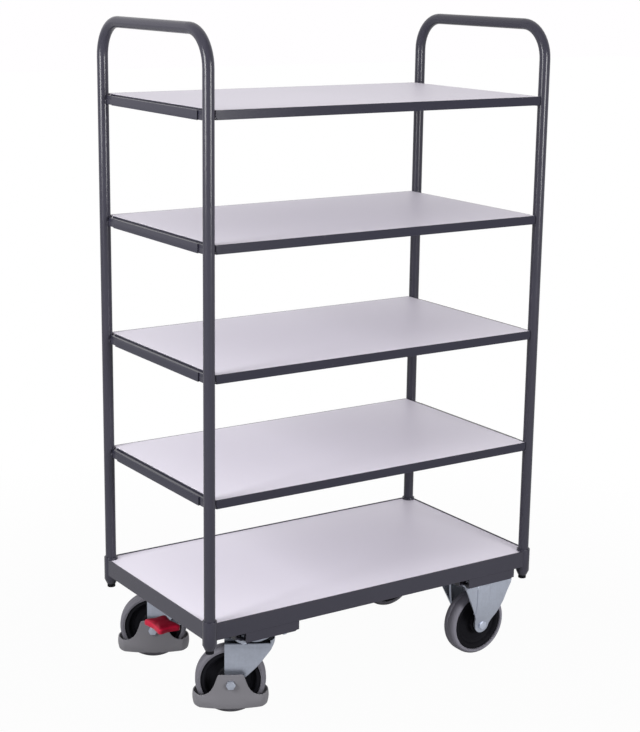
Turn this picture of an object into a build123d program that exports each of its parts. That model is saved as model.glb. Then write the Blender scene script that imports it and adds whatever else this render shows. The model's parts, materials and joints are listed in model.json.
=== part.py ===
"""Shelf trolley: two tubular end frames, four hook-in shelves, a deck on a rail base, and four casters.

Millimetres, +Z up, origin on the floor under the middle of the base. +X runs along the trolley, from the
end with the swivel casters and the brake pedal to the end with the fixed casters. The front is at -Y.
"""
import os

from build123d import *

os.makedirs("parts", exist_ok=True)

# End frames: one inverted U of tube at each end
TUBE_OD = 25.0
TUBE_WALL = 2.0
FRAME_SPACING = 882.0  # end frame to end frame, centre to centre
POST_SPACING = 472.0  # front post to rear post, centre to centre
HANDLE_RISE = 1257.0  # top bar's centreline above the base's top edge
HANDLE_BEND = 77.0  # centreline radius of the two bends

# Shelves: board, front and rear edge angles, and a hook plate at each end
SHELF_COUNT = 4
FIRST_SHELF_RISE = 275.5  # base's top edge to the lowest shelf
SHELF_PITCH = 274.0
BOARD_THICKNESS = 17.0
ANGLE_SHEET = 3.0
ANGLE_HEIGHT = 20.0
ANGLE_LEG = 23.0
ANGLE_PROUD = 6.5  # front face of the angle in front of the post plane
ANGLE_END_GAP = 13.2  # post's centre to the end of the angle
ANGLE_END_CUT = 6.0  # slanted lower corner at each end of the angle
END_RAIL_THICKNESS = 10.0
END_RAIL_HEIGHT = 12.0
END_RAIL_SETBACK = 10.9  # post plane to the rail's inner face
HOOK_SHEET = 2.5
HOOK_SINK = 1.5  # top of the upstand behind the board's end, below the board's top
HOOK_BRIDGE_DROP = 8.0  # top of the hook over the rail, below the board's top
HOOK_DROP = 15.0
HOOK_END_GAP = 46.0  # post's centre to the end of the hook's outer plate
HOOK_LEDGE = 22.0

# Base: four rolled rails round a deck board, joined by a sleeve at each corner
RAIL_HEIGHT = 40.0
RAIL_SHEET = 3.0
RAIL_LEG = 22.0
RAIL_LEG_GAP = 20.0  # post's centre to the end of the rail's legs
DECK_THICKNESS = 18.0
DECK_SINK = 2.0  # deck's top below the rails' top edge
SLEEVE_OD = 32.0
SLEEVE_PROUD = 3.5  # sleeve's top above the rails' top edge
SLEEVE_DROP = 12.0  # straight part below the rails
SLEEVE_TAPER = 12.0
SLEEVE_TIP_OD = 21.0
PLUG_OD = 19.0
PLUG_DROP = 8.0
PLUG_STEM_OD = 12.0

# Cross-members: upward-open channels under the rails that carry the casters
CROSS_WIDTH = 154.0
CROSS_DEPTH = 20.0
CROSS_SHEET = 3.0
SKIRT_DROP = 2.5  # end skirts below the channel's web
SKIRT_INSET = 16.0  # channel's left wall to the skirt's left end
SKIRT_RELIEF = 20.0  # channel's walls end this far behind the skirts
SKIRT_CUT_ALONG = 10.0
SKIRT_CUT_UP = 6.0
SWIVEL_INSET = 146.0  # left end frame to the swivel casters
FIXED_INSET = 106.0  # right end frame to the fixed casters
FIXED_CROSS_SHIFT = 8.0  # right cross-member's middle, from the fixed casters toward the deck's middle
CASTER_INSET = 52.0  # posts to the casters, front and rear

# Casters: catalogue sizes for a 160 mm wheel
CROWN_GAP = 15.0  # tyre to the fork's crown
PLATE_LENGTH = 140.0
PLATE_WIDTH = 110.0
PLATE_THICKNESS = 6.0
PLATE_CORNER = 10.0
BOLT_PATTERN_LENGTH = 105.0
BOLT_PATTERN_WIDTH = 80.0
BOLT_DIAMETER = 8.0
BOLT_HEX = 13.0
BOLT_HEAD = 5.3
NUT_HEIGHT = 7.0
BOLT_END = 2.0  # thread showing below the nut
WHEEL_DIAMETER = 160.0
WHEEL_WIDTH = 40.0
TYRE_THICKNESS = 12.0
TREAD_FLAT = 16.0  # flat middle of the crowned tread
TYRE_SIDE = 3.0  # straight side wall next to the rim
RIM_WIDTH = 34.0
RIM_THICKNESS = 12.0
WHEEL_WEB = 10.0
HUB_LENGTH = 44.0
HUB_OD = 48.0
BEARING_OD = 32.0
BEARING_WIDTH = 10.0
BEARING_SHOULDER = 3.0
AXLE_DIAMETER = 12.0
AXLE_HEX = 19.0
AXLE_HEAD = 6.5

# Swivel casters: fork, ball race and hollow kingpin
CASTER_YAW = -30.0  # both forks stand turned by this much
TRAIL = 54.0
FORK_INSIDE = 48.0
FORK_SHEET = 3.5
CROWN_THICKNESS = 6.0
CROWN_DIAMETER = 92.0
RACE_HEIGHT = 12.7
RACE_OD = 80.0
RACE_ID = 52.0
FORK_FOOT_RADIUS = 14.0
FORK_WAIST_AHEAD = 34.0
FORK_WAIST_RISE = 12.0
FORK_SHOULDER_AHEAD = 70.0
FORK_SHOULDER_RISE = 50.0
FORK_NOSE_DROP = 12.0
KINGPIN_OD = 16.0
KINGPIN_BORE = 8.0
KINGPIN_HEAD_OD = 24.0
KINGPIN_HEAD = 2.5
KINGPIN_NUT_OD = 28.0
KINGPIN_NUT = 11.5

# Foot guards: a boat-shaped hoop round the lower part of each swivel wheel
GUARD_LENGTH = 170.0
GUARD_WIDTH = 88.0
GUARD_WALL = 3.0
GUARD_END_REACH = 70.0
GUARD_END_WIDTH = 66.0
GUARD_BOTTOM = 21.0
GUARD_BAND_TOP = 51.0
GUARD_HUMP_TOP = 103.0
GUARD_HUMP_FLAT = 54.0
GUARD_HUMP_EASE = 68.0
GUARD_HUMP_FOOT = 142.0
GUARD_BOSS_OD = 28.0

# Fixed casters: plate and two splayed legs folded from one sheet
FIXED_INSIDE = 54.0  # between the legs at the axle
FIXED_SHEET = 4.0
FIXED_SHOULDER_OUT = 54.0
FIXED_SHOULDER_RISE = 70.0  # above the axle, like the next three
FIXED_WAIST_OUT = 44.0
FIXED_WAIST_RISE = 34.0
FIXED_ANKLE_RISE = 12.0
FIXED_TAPER_RISE = 17.0
FIXED_TAPER_WIDTH = 54.0
FIXED_FOOT_RADIUS = 20.5
FIXED_EDGE_DROP = 9.0
RIB_WIDTH = 76.0
RIB_RISE = 2.0
RIB_END_GAP = 8.0

# Central brake: pedal, cross shaft with two cams, and a plunger down each kingpin
SHAFT_DIAMETER = 12.0
SHAFT_RISE = 19.0  # shaft's centreline above the caster plates
SHAFT_OVERHANG = 13.0  # shaft's end beyond the caster centre
CAM_THROW = 10.0
CAM_RADIUS = 8.0
CAM_HUB_RADIUS = 7.5
CAM_WIDTH = 10.0
BEARING_BLOCK_INSET = 64.0  # casters to the bearing blocks
BEARING_BLOCK_WIDTH = 12.0
BEARING_BLOCK_LENGTH = 26.0
BEARING_BLOCK_TOP = 6.0
PEDAL_WIDTH = 81.0
PEDAL_LENGTH = 44.0
PEDAL_THICKNESS = 11.0
PEDAL_DROP = 84.0  # base's top edge to the pedal's top
PEDAL_CORNER = 9.0
PEDAL_INNER_CORNER = 18.0
PEDAL_SETBACK = 1.0  # pedal's outer edge inside the base's end face
PEDAL_HUB_OD = 24.0
PEDAL_HUB_LENGTH = 30.0
ARM_WIDTH = 24.0
ARM_THICKNESS = 7.0
ARM_KNEE = 20.0  # arm's bend toward the pedal, away from the shaft
ARM_SLOT_WIDTH = 38.0
ARM_SLOT_LENGTH = 70.0
ARM_SLOT_BACK = 16.0  # slot's end on the far side of the shaft
PLUNGER_CAP_OD = 26.0
PLUNGER_CAP = 4.0
PLUNGER_PAD_OD = 18.0
PLUNGER_PAD = 4.0
PLUNGER_PAD_GAP = 2.0

# Clearances
FIT = 0.1  # between pieces that are fastened together
RUNNING_FIT = 0.05  # radial, shafts and pins that turn
FACE_GAP = 0.3  # between faces that pass each other
BOLT_HOLE_GAP = 0.4
HEAD_HOLE_GAP = 2.0

# Places worked out from the sizes above
FRAME_X = FRAME_SPACING / 2
POST_Y = POST_SPACING / 2
SWIVEL_X = SWIVEL_INSET - FRAME_X
FIXED_X = FRAME_X - FIXED_INSET
CASTER_Y = POST_Y - CASTER_INSET
CROWN_BOTTOM = WHEEL_DIAMETER + CROWN_GAP
CROWN_TOP = CROWN_BOTTOM + CROWN_THICKNESS
PLATE_BOTTOM = CROWN_TOP + FACE_GAP + RACE_HEIGHT
INSTALL_HEIGHT = PLATE_BOTTOM + PLATE_THICKNESS  # floor to the top of the caster plates
BASE_X = FRAME_X + TUBE_OD / 2
BASE_Y = POST_Y + TUBE_OD / 2
RAIL_BOTTOM = INSTALL_HEIGHT + CROSS_DEPTH
BASE_TOP = RAIL_BOTTOM + RAIL_HEIGHT
DECK_TOP = BASE_TOP - DECK_SINK
SLEEVE_FLOOR = RAIL_BOTTOM - SLEEVE_DROP
HANDLE_Z = BASE_TOP + HANDLE_RISE
AXLE_Z = WHEEL_DIAMETER / 2
RIM_RADIUS = WHEEL_DIAMETER / 2 - TYRE_THICKNESS
FORK_OUT = FORK_INSIDE / 2 + FORK_SHEET
FIXED_OUT = FIXED_INSIDE / 2 + FIXED_SHEET
FIXED_ANKLE_Z = AXLE_Z + FIXED_ANKLE_RISE
WEB_TOP = INSTALL_HEIGHT + CROSS_SHEET
SHAFT_Z = INSTALL_HEIGHT + SHAFT_RISE
PEDAL_TOP = BASE_TOP - PEDAL_DROP
PEDAL_OUT = -(BASE_X - PEDAL_SETBACK)
CAP_TOP = SHAFT_Z - CAM_RADIUS - FACE_GAP
POST_PLACES = [(x, y) for x in (-FRAME_X, FRAME_X) for y in (-POST_Y, POST_Y)]
SIDES = {"front": -1, "rear": 1}
ENDS = {"left": -1, "right": 1}
UP = Vector(0, 0, 1)


def save(piece, name):
    """Label one finished piece and write it under its own name."""
    piece.label = name
    export_step(piece, f"parts/{name}.step")


def upright_plane(along, place=(0, 0, 0)):
    """Upright sketch plane: local x runs along the given level direction, local y is up."""
    return Plane(origin=place, x_dir=along, z_dir=Vector(along).cross(UP))


def shelf_top(number):
    """Height of a shelf's top, counted from 1 at the bottom."""
    return BASE_TOP + FIRST_SHELF_RISE + (number - 1) * SHELF_PITCH


# End frames


def end_tube(end):
    """Inverted U whose top bar is the push handle and whose feet stand in the corner sleeves."""
    with BuildPart() as tube:
        with BuildLine(Plane.YZ.offset(end * FRAME_X)) as path:
            FilletPolyline(
                (-POST_Y, SLEEVE_FLOOR),
                (-POST_Y, HANDLE_Z),
                (POST_Y, HANDLE_Z),
                (POST_Y, SLEEVE_FLOOR),
                radius=HANDLE_BEND,
            )
        with BuildSketch(Plane(origin=path.line @ 0, z_dir=path.line % 0)):
            Circle(TUBE_OD / 2)
            Circle(TUBE_OD / 2 - TUBE_WALL, mode=Mode.SUBTRACT)
        sweep()
    return tube.part


def end_rails(end):
    """The four cross bars of one end frame, coped to fit between its posts."""
    inner = FRAME_X - END_RAIL_SETBACK
    middle = end * (inner + END_RAIL_THICKNESS / 2)
    with BuildPart() as rails:
        for number in range(1, SHELF_COUNT + 1):
            with BuildSketch(Plane.XY.offset(shelf_top(number) - HOOK_BRIDGE_DROP - HOOK_SHEET)):
                with Locations((middle, 0)):
                    Rectangle(END_RAIL_THICKNESS, POST_SPACING)
                with Locations((end * FRAME_X, -POST_Y), (end * FRAME_X, POST_Y)):
                    Circle(TUBE_OD / 2 + FIT, mode=Mode.SUBTRACT)
            extrude(amount=-END_RAIL_HEIGHT)
    return rails.part


for end_name, end in ENDS.items():
    save(end_tube(end), f"{end_name}_end_tube")
    save(end_rails(end), f"{end_name}_end_rails")


# Shelves

ANGLE_FACE = POST_Y + ANGLE_PROUD
ANGLE_INSIDE = ANGLE_FACE - ANGLE_SHEET
ANGLE_HALF = FRAME_X - ANGLE_END_GAP
HOOK_OUTSIDE = FRAME_X - END_RAIL_SETBACK + END_RAIL_THICKNESS + FACE_GAP + HOOK_SHEET
HOOK_INSIDE = FRAME_X - END_RAIL_SETBACK - FACE_GAP - HOOK_SHEET
BOARD_HALF = HOOK_INSIDE - FACE_GAP


def shelf_board(top):
    """Coated board that lies inside the edge angles, flush with their top edge."""
    with BuildPart() as board:
        with BuildSketch(Plane.XY.offset(top)):
            Rectangle(2 * BOARD_HALF, 2 * (ANGLE_INSIDE - FACE_GAP))
        extrude(amount=-BOARD_THICKNESS)
    return board.part


def shelf_edge_angles(top):
    """Front and rear steel angles: an upright face and a leg under the board."""
    with BuildPart() as angles:
        for side in SIDES.values():
            with BuildSketch(upright_plane((1, 0, 0), (0, side * ANGLE_FACE, top))):
                with BuildLine():
                    Polyline(
                        (-ANGLE_HALF, 0),
                        (ANGLE_HALF, 0),
                        (ANGLE_HALF, ANGLE_END_CUT - ANGLE_HEIGHT),
                        (ANGLE_HALF - ANGLE_END_CUT, -ANGLE_HEIGHT),
                        (ANGLE_END_CUT - ANGLE_HALF, -ANGLE_HEIGHT),
                        (-ANGLE_HALF, ANGLE_END_CUT - ANGLE_HEIGHT),
                        close=True,
                    )
                make_face()
            extrude(amount=side * ANGLE_SHEET)
            with BuildSketch(Plane.XY.offset(top - ANGLE_HEIGHT)):
                with Locations((0, side * (ANGLE_FACE - ANGLE_LEG / 2))):
                    Rectangle(2 * BOARD_HALF, ANGLE_LEG)
            extrude(amount=ANGLE_HEIGHT - BOARD_THICKNESS)
    return angles.part


def shelf_end_hooks(top):
    """Plates at both ends: a ledge under the board, an upstand behind its end and a hook over the end rail."""
    ledge_half = ANGLE_FACE - ANGLE_LEG - FACE_GAP
    with BuildPart() as hooks:
        for end in ENDS.values():
            side_on = upright_plane((end, 0, 0), (0, 0, top))
            with BuildSketch(side_on):
                with Locations((HOOK_OUTSIDE, -HOOK_BRIDGE_DROP)):
                    Rectangle(HOOK_SHEET, HOOK_DROP, align=(Align.MAX, Align.MAX))
                    Rectangle(HOOK_OUTSIDE - HOOK_INSIDE, HOOK_SHEET, align=(Align.MAX, Align.MAX))
            extrude(amount=POST_Y - HOOK_END_GAP, both=True)
            with BuildSketch(side_on):
                with Locations((HOOK_INSIDE + HOOK_SHEET, -ANGLE_HEIGHT)):
                    Rectangle(HOOK_LEDGE, ANGLE_HEIGHT - BOARD_THICKNESS, align=(Align.MAX, Align.MIN))
                with Locations((HOOK_INSIDE + HOOK_SHEET, -BOARD_THICKNESS)):
                    Rectangle(HOOK_SHEET, BOARD_THICKNESS - HOOK_SINK, align=(Align.MAX, Align.MIN))
            extrude(amount=ledge_half, both=True)
    return hooks.part


for number in range(1, SHELF_COUNT + 1):
    save(shelf_board(shelf_top(number)), f"shelf_{number}_board")
    save(shelf_edge_angles(shelf_top(number)), f"shelf_{number}_edge_angles")
    save(shelf_end_hooks(shelf_top(number)), f"shelf_{number}_end_hooks")


# Base

RAIL_LEDGE = DECK_TOP - DECK_THICKNESS


def base_rail(outward, outer_face, half_length):
    """Rolled rail: an upright face, a ledge for the deck and a bottom leg for the cross-members."""
    section = upright_plane(outward)
    with BuildPart() as rail:
        with BuildSketch(section):
            with Locations((outer_face, RAIL_BOTTOM)):
                Rectangle(RAIL_SHEET, RAIL_HEIGHT, align=(Align.MAX, Align.MIN))
        extrude(amount=half_length, both=True)
        with BuildSketch(section):
            with Locations((outer_face, RAIL_BOTTOM), (outer_face, RAIL_LEDGE - RAIL_SHEET)):
                Rectangle(RAIL_LEG, RAIL_SHEET, align=(Align.MAX, Align.MIN))
        extrude(amount=half_length - RAIL_LEG_GAP, both=True)
        with BuildSketch(Plane.XY):
            with Locations(*POST_PLACES):
                Circle(SLEEVE_OD / 2 + FIT)
        extrude(amount=2 * BASE_TOP, mode=Mode.SUBTRACT)
    return rail.part


save(base_rail((0, -1, 0), BASE_Y, FRAME_X), "base_front_rail")
save(base_rail((0, 1, 0), BASE_Y, FRAME_X), "base_rear_rail")
save(base_rail((-1, 0, 0), BASE_X, POST_Y), "base_left_rail")
save(base_rail((1, 0, 0), BASE_X, POST_Y), "base_right_rail")

with BuildPart() as deck_board:
    with BuildSketch(Plane.XY.offset(RAIL_LEDGE)):
        Rectangle(2 * (BASE_X - RAIL_SHEET - FACE_GAP), 2 * (BASE_Y - RAIL_SHEET - FACE_GAP))
        with Locations(*POST_PLACES):
            Circle(SLEEVE_OD / 2 + FACE_GAP, mode=Mode.SUBTRACT)
    extrude(amount=DECK_THICKNESS)
save(deck_board.part, "deck_board")

with BuildPart() as corner_sleeves:
    for x, y in POST_PLACES:
        with BuildSketch(upright_plane((1, 0, 0), (x, y, 0))):
            with BuildLine():
                Polyline(
                    (PLUG_STEM_OD / 2 + FIT, SLEEVE_FLOOR - SLEEVE_TAPER),
                    (SLEEVE_TIP_OD / 2, SLEEVE_FLOOR - SLEEVE_TAPER),
                    (SLEEVE_OD / 2, SLEEVE_FLOOR),
                    (SLEEVE_OD / 2, BASE_TOP + SLEEVE_PROUD),
                    (TUBE_OD / 2 + FIT, BASE_TOP + SLEEVE_PROUD),
                    (TUBE_OD / 2 + FIT, SLEEVE_FLOOR),
                    (PLUG_STEM_OD / 2 + FIT, SLEEVE_FLOOR),
                    close=True,
                )
            make_face()
        revolve(axis=Axis((x, y, 0), (0, 0, 1)))
save(corner_sleeves.part, "corner_sleeves")

with BuildPart() as sleeve_plugs:
    with BuildSketch(Plane.XY.offset(SLEEVE_FLOOR - SLEEVE_TAPER)):
        with Locations(*POST_PLACES):
            Circle(PLUG_OD / 2)
    extrude(amount=-PLUG_DROP)
    with BuildSketch(Plane.XY.offset(SLEEVE_FLOOR - SLEEVE_TAPER)):
        with Locations(*POST_PLACES):
            Circle(PLUG_STEM_OD / 2)
    extrude(amount=SLEEVE_TAPER)
save(sleeve_plugs.part, "sleeve_plugs")


# Cross-members and the bolts that hold the caster plates to them


def crossmember(x, caster_x, holds_brake):
    """Channel across the base with a narrower skirt at each end, flush with the long rails."""
    width_half = CROSS_WIDTH / 2
    with BuildPart() as channel:
        with BuildSketch(upright_plane((1, 0, 0), (x, 0, INSTALL_HEIGHT))):
            Rectangle(CROSS_WIDTH, CROSS_SHEET, align=(Align.CENTER, Align.MIN))
            with Locations((-width_half, 0)):
                Rectangle(CROSS_SHEET, CROSS_DEPTH, align=(Align.MIN, Align.MIN))
            with Locations((width_half, 0)):
                Rectangle(CROSS_SHEET, CROSS_DEPTH, align=(Align.MAX, Align.MIN))
        extrude(amount=BASE_Y - SKIRT_RELIEF, both=True)
        with BuildSketch(Plane.XY.offset(INSTALL_HEIGHT)):
            with Locations((x + width_half, 0)):
                Rectangle(CROSS_WIDTH - SKIRT_INSET, 2 * BASE_Y, align=(Align.MAX, Align.CENTER))
        extrude(amount=CROSS_SHEET)
        for side in SIDES.values():
            with BuildSketch(upright_plane((1, 0, 0), (x, side * BASE_Y, INSTALL_HEIGHT))):
                with BuildLine():
                    Polyline(
                        (SKIRT_INSET - width_half, CROSS_DEPTH),
                        (width_half, CROSS_DEPTH),
                        (width_half, SKIRT_CUT_UP - SKIRT_DROP),
                        (width_half - SKIRT_CUT_ALONG, -SKIRT_DROP),
                        (SKIRT_INSET - width_half, -SKIRT_DROP),
                        close=True,
                    )
                make_face()
            extrude(amount=side * CROSS_SHEET)
        with BuildSketch(Plane.XY.offset(INSTALL_HEIGHT)):
            for side in SIDES.values():
                with Locations((caster_x, side * CASTER_Y)):
                    with GridLocations(BOLT_PATTERN_LENGTH, BOLT_PATTERN_WIDTH, 2, 2):
                        Circle(BOLT_DIAMETER / 2 + BOLT_HOLE_GAP)
                    if holds_brake:
                        Circle(KINGPIN_HEAD_OD / 2 + HEAD_HOLE_GAP)
            if holds_brake:
                with Locations((caster_x + ARM_SLOT_BACK, 0)):
                    Rectangle(ARM_SLOT_LENGTH, ARM_SLOT_WIDTH, align=(Align.MAX, Align.CENTER))
        extrude(amount=CROSS_SHEET, mode=Mode.SUBTRACT)
    return channel.part


save(crossmember(SWIVEL_X, SWIVEL_X, holds_brake=True), "left_crossmember")
save(crossmember(FIXED_X - FIXED_CROSS_SHIFT, FIXED_X, holds_brake=False), "right_crossmember")

CASTER_PLACES = [(x, side * CASTER_Y) for x in (SWIVEL_X, FIXED_X) for side in SIDES.values()]


def at_each_bolt(shape, *sizes):
    """Draw one sketch shape at all the bolts of the four caster plates."""
    for place in CASTER_PLACES:
        with Locations(place):
            with GridLocations(BOLT_PATTERN_LENGTH, BOLT_PATTERN_WIDTH, 2, 2):
                shape(*sizes)


with BuildPart() as caster_bolts:
    with BuildSketch(Plane.XY.offset(WEB_TOP)):
        at_each_bolt(RegularPolygon, BOLT_HEX / 2, 6, False)
    extrude(amount=BOLT_HEAD)
    with BuildSketch(Plane.XY.offset(PLATE_BOTTOM - NUT_HEIGHT - BOLT_END)):
        at_each_bolt(Circle, BOLT_DIAMETER / 2)
    extrude(amount=WEB_TOP - PLATE_BOTTOM + NUT_HEIGHT + BOLT_END)
save(caster_bolts.part, "caster_bolts")

with BuildPart() as caster_nuts:
    with BuildSketch(Plane.XY.offset(PLATE_BOTTOM)):
        at_each_bolt(RegularPolygon, BOLT_HEX / 2, 6, False)
    extrude(amount=-NUT_HEIGHT)
    with BuildSketch(Plane.XY.offset(PLATE_BOTTOM)):
        at_each_bolt(Circle, BOLT_DIAMETER / 2 + FIT)
    extrude(amount=-NUT_HEIGHT, mode=Mode.SUBTRACT)
save(caster_nuts.part, "caster_nuts")


# Wheels: the same core, tyre and pair of bearings on all four casters


def wheel_section(hub, axle):
    """Sketch plane of a wheel's section: local x runs along the axle, local y is up."""
    return upright_plane(axle, hub)


def wheel_core(hub, axle):
    """Hub, web and rim, with a stepped bore that holds a bearing at each end."""
    seat = HUB_LENGTH / 2 - BEARING_WIDTH
    with BuildPart() as core:
        with BuildSketch(wheel_section(hub, axle)):
            with Locations((0, BEARING_OD / 2 - BEARING_SHOULDER)):
                hub_wall = HUB_OD / 2 - BEARING_OD / 2 + BEARING_SHOULDER
                Rectangle(HUB_LENGTH, hub_wall, align=(Align.CENTER, Align.MIN))
            with Locations((0, HUB_OD / 2)):
                Rectangle(WHEEL_WEB, RIM_RADIUS - HUB_OD / 2, align=(Align.CENTER, Align.MIN))
            with Locations((0, RIM_RADIUS)):
                Rectangle(RIM_WIDTH, RIM_THICKNESS, align=(Align.CENTER, Align.MAX))
            with Locations((-seat, 0)):
                Rectangle(HUB_LENGTH, BEARING_OD / 2 + FIT, align=(Align.MAX, Align.MIN), mode=Mode.SUBTRACT)
            with Locations((seat, 0)):
                Rectangle(HUB_LENGTH, BEARING_OD / 2 + FIT, align=(Align.MIN, Align.MIN), mode=Mode.SUBTRACT)
        revolve(axis=Axis(hub, axle))
    return core.part


def wheel_tyre(hub, axle):
    """Rubber ring with a flat tread and strongly rounded shoulders."""
    half = WHEEL_WIDTH / 2
    inner = RIM_RADIUS + FIT
    side_top = inner + TYRE_SIDE
    outer = WHEEL_DIAMETER / 2
    with BuildPart() as tyre:
        with BuildSketch(wheel_section(hub, axle)):
            with BuildLine():
                Line((half, inner), (half, side_top))
                EllipticalCenterArc(
                    (TREAD_FLAT / 2, side_top),
                    half - TREAD_FLAT / 2,
                    outer - side_top,
                    start_angle=0,
                    arc_size=90,
                )
                Line((TREAD_FLAT / 2, outer), (0, outer))
                Line((0, outer), (0, inner))
                Line((0, inner), (half, inner))
            make_face()
            mirror(about=Plane.YZ)
        revolve(axis=Axis(hub, axle))
    return tyre.part


def wheel_bearings(hub, axle):
    """The two ball bearings, as closed rings that run on the axle."""
    inner = AXLE_DIAMETER / 2 + RUNNING_FIT
    with BuildPart() as bearings:
        with BuildSketch(wheel_section(hub, axle)):
            with Locations((-HUB_LENGTH / 2, inner)):
                Rectangle(BEARING_WIDTH, BEARING_OD / 2 - inner, align=(Align.MIN, Align.MIN))
            with Locations((HUB_LENGTH / 2, inner)):
                Rectangle(BEARING_WIDTH, BEARING_OD / 2 - inner, align=(Align.MAX, Align.MIN))
        revolve(axis=Axis(hub, axle))
    return bearings.part


def wheel_axle(hub, axle, seat):
    """Through bolt with a hexagon at each end, seated at the given distance from the wheel's middle."""
    across = Plane(origin=hub, z_dir=axle)
    with BuildPart() as bolt:
        with BuildSketch(across):
            Circle(AXLE_DIAMETER / 2)
        extrude(amount=seat + AXLE_HEAD, both=True)
        for way in (-1, 1):
            with BuildSketch(across.offset(way * seat)):
                RegularPolygon(AXLE_HEX / 2, 6, major_radius=False)
            extrude(amount=way * AXLE_HEAD)
    return bolt.part


def save_wheel(hub, axle, name):
    """Write the three pieces of one wheel."""
    save(wheel_core(hub, axle), f"{name}_wheel_core")
    save(wheel_tyre(hub, axle), f"{name}_wheel_tyre")
    save(wheel_bearings(hub, axle), f"{name}_wheel_bearings")


# Swivel casters

CASTER_AHEAD = Vector(1, 0, 0).rotate(Axis.Z, CASTER_YAW)
CASTER_AXLE = Vector(0, 1, 0).rotate(Axis.Z, CASTER_YAW)


def swivel_plate(place):
    """Mounting plate with four bolt holes and the kingpin's hole."""
    with BuildPart() as plate:
        with BuildSketch(Plane.XY.offset(INSTALL_HEIGHT)):
            with Locations(place):
                RectangleRounded(PLATE_LENGTH, PLATE_WIDTH, PLATE_CORNER)
                Circle(KINGPIN_OD / 2 + FIT, mode=Mode.SUBTRACT)
                with GridLocations(BOLT_PATTERN_LENGTH, BOLT_PATTERN_WIDTH, 2, 2):
                    Circle(BOLT_DIAMETER / 2 + BOLT_HOLE_GAP, mode=Mode.SUBTRACT)
        extrude(amount=-PLATE_THICKNESS)
    return plate.part


def ball_race(place):
    """Race housing pressed to the underside of the plate, just clear of the fork's crown."""
    with BuildPart() as race:
        with BuildSketch(Plane.XY.offset(PLATE_BOTTOM)):
            with Locations(place):
                Circle(RACE_OD / 2)
                Circle(RACE_ID / 2, mode=Mode.SUBTRACT)
        extrude(amount=-RACE_HEIGHT)
    return race.part


def kingpin(place):
    """Hollow pin with a flat head on the plate and a riveted nut under the fork's crown."""
    nut_top = CROWN_BOTTOM - FACE_GAP
    head_top = INSTALL_HEIGHT + KINGPIN_HEAD
    with BuildPart() as pin:
        with BuildSketch(Plane.XY.offset(nut_top - KINGPIN_NUT)):
            with Locations(place):
                Circle(KINGPIN_NUT_OD / 2)
        extrude(amount=KINGPIN_NUT)
        with BuildSketch(Plane.XY.offset(nut_top)):
            with Locations(place):
                Circle(KINGPIN_OD / 2)
        extrude(amount=INSTALL_HEIGHT - nut_top)
        with BuildSketch(Plane.XY.offset(INSTALL_HEIGHT)):
            with Locations(place):
                Circle(KINGPIN_HEAD_OD / 2)
        extrude(amount=KINGPIN_HEAD)
        with BuildSketch(Plane.XY.offset(head_top)):
            with Locations(place):
                Circle(KINGPIN_BORE / 2)
        extrude(amount=-head_top, mode=Mode.SUBTRACT)
    return pin.part


def fork(place):
    """Swivel fork: a round crown and two legs that trail down to the axle."""
    foot = (*place, 0)
    axle_ahead = -TRAIL
    with BuildPart() as body:
        with BuildSketch(upright_plane(CASTER_AXLE, foot)):
            with BuildLine():
                Polyline(
                    (-FORK_OUT, 0),
                    (-FORK_OUT, CROWN_TOP),
                    (FORK_OUT, CROWN_TOP),
                    (FORK_OUT, 0),
                    (FORK_INSIDE / 2, 0),
                    (FORK_INSIDE / 2, CROWN_BOTTOM),
                    (-FORK_INSIDE / 2, CROWN_BOTTOM),
                    (-FORK_INSIDE / 2, 0),
                    close=True,
                )
            make_face()
        extrude(amount=TRAIL + CROWN_DIAMETER, both=True)
        with BuildSketch(upright_plane(CASTER_AHEAD, foot)):
            with BuildLine():
                Polyline(
                    (axle_ahead - FORK_FOOT_RADIUS, AXLE_Z),
                    (axle_ahead - FORK_FOOT_RADIUS, CROWN_TOP),
                    (CROWN_DIAMETER / 2, CROWN_TOP),
                    (CROWN_DIAMETER / 2, CROWN_TOP - FORK_NOSE_DROP),
                    (axle_ahead + FORK_SHOULDER_AHEAD, AXLE_Z + FORK_SHOULDER_RISE),
                    (axle_ahead + FORK_WAIST_AHEAD, AXLE_Z + FORK_WAIST_RISE),
                    (axle_ahead + FORK_FOOT_RADIUS, AXLE_Z),
                    close=True,
                )
            make_face()
            with Locations((axle_ahead, AXLE_Z)):
                Circle(FORK_FOOT_RADIUS)
        extrude(amount=2 * FORK_OUT, both=True, mode=Mode.INTERSECT)
        with BuildSketch(Plane.XY.offset(CROWN_TOP)):
            with Locations(place):
                Circle(CROWN_DIAMETER / 2)
        extrude(amount=-CROWN_THICKNESS)
        with BuildSketch(Plane.XY.offset(CROWN_TOP)):
            with Locations(place):
                Circle(KINGPIN_OD / 2 + RUNNING_FIT)
        extrude(amount=-CROWN_THICKNESS, mode=Mode.SUBTRACT)
        with BuildSketch(upright_plane(CASTER_AHEAD, foot)):
            with Locations((axle_ahead, AXLE_Z)):
                Circle(AXLE_DIAMETER / 2 + FIT)
        extrude(amount=2 * FORK_OUT, both=True, mode=Mode.SUBTRACT)
    return body.part


def guard_plan(inset):
    """Boat-shaped plan of the foot guard, drawn inside its outer line by the given inset."""
    length, width = GUARD_LENGTH / 2 - inset, GUARD_WIDTH / 2 - inset
    reach, end_width = GUARD_END_REACH - inset, GUARD_END_WIDTH / 2 - inset
    ThreePointArc((-reach, end_width), (0, width), (reach, end_width))
    ThreePointArc((reach, end_width), (length, 0), (reach, -end_width))
    ThreePointArc((reach, -end_width), (0, -width), (-reach, -end_width))
    ThreePointArc((-reach, -end_width), (-length, 0), (-reach, end_width))


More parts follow.
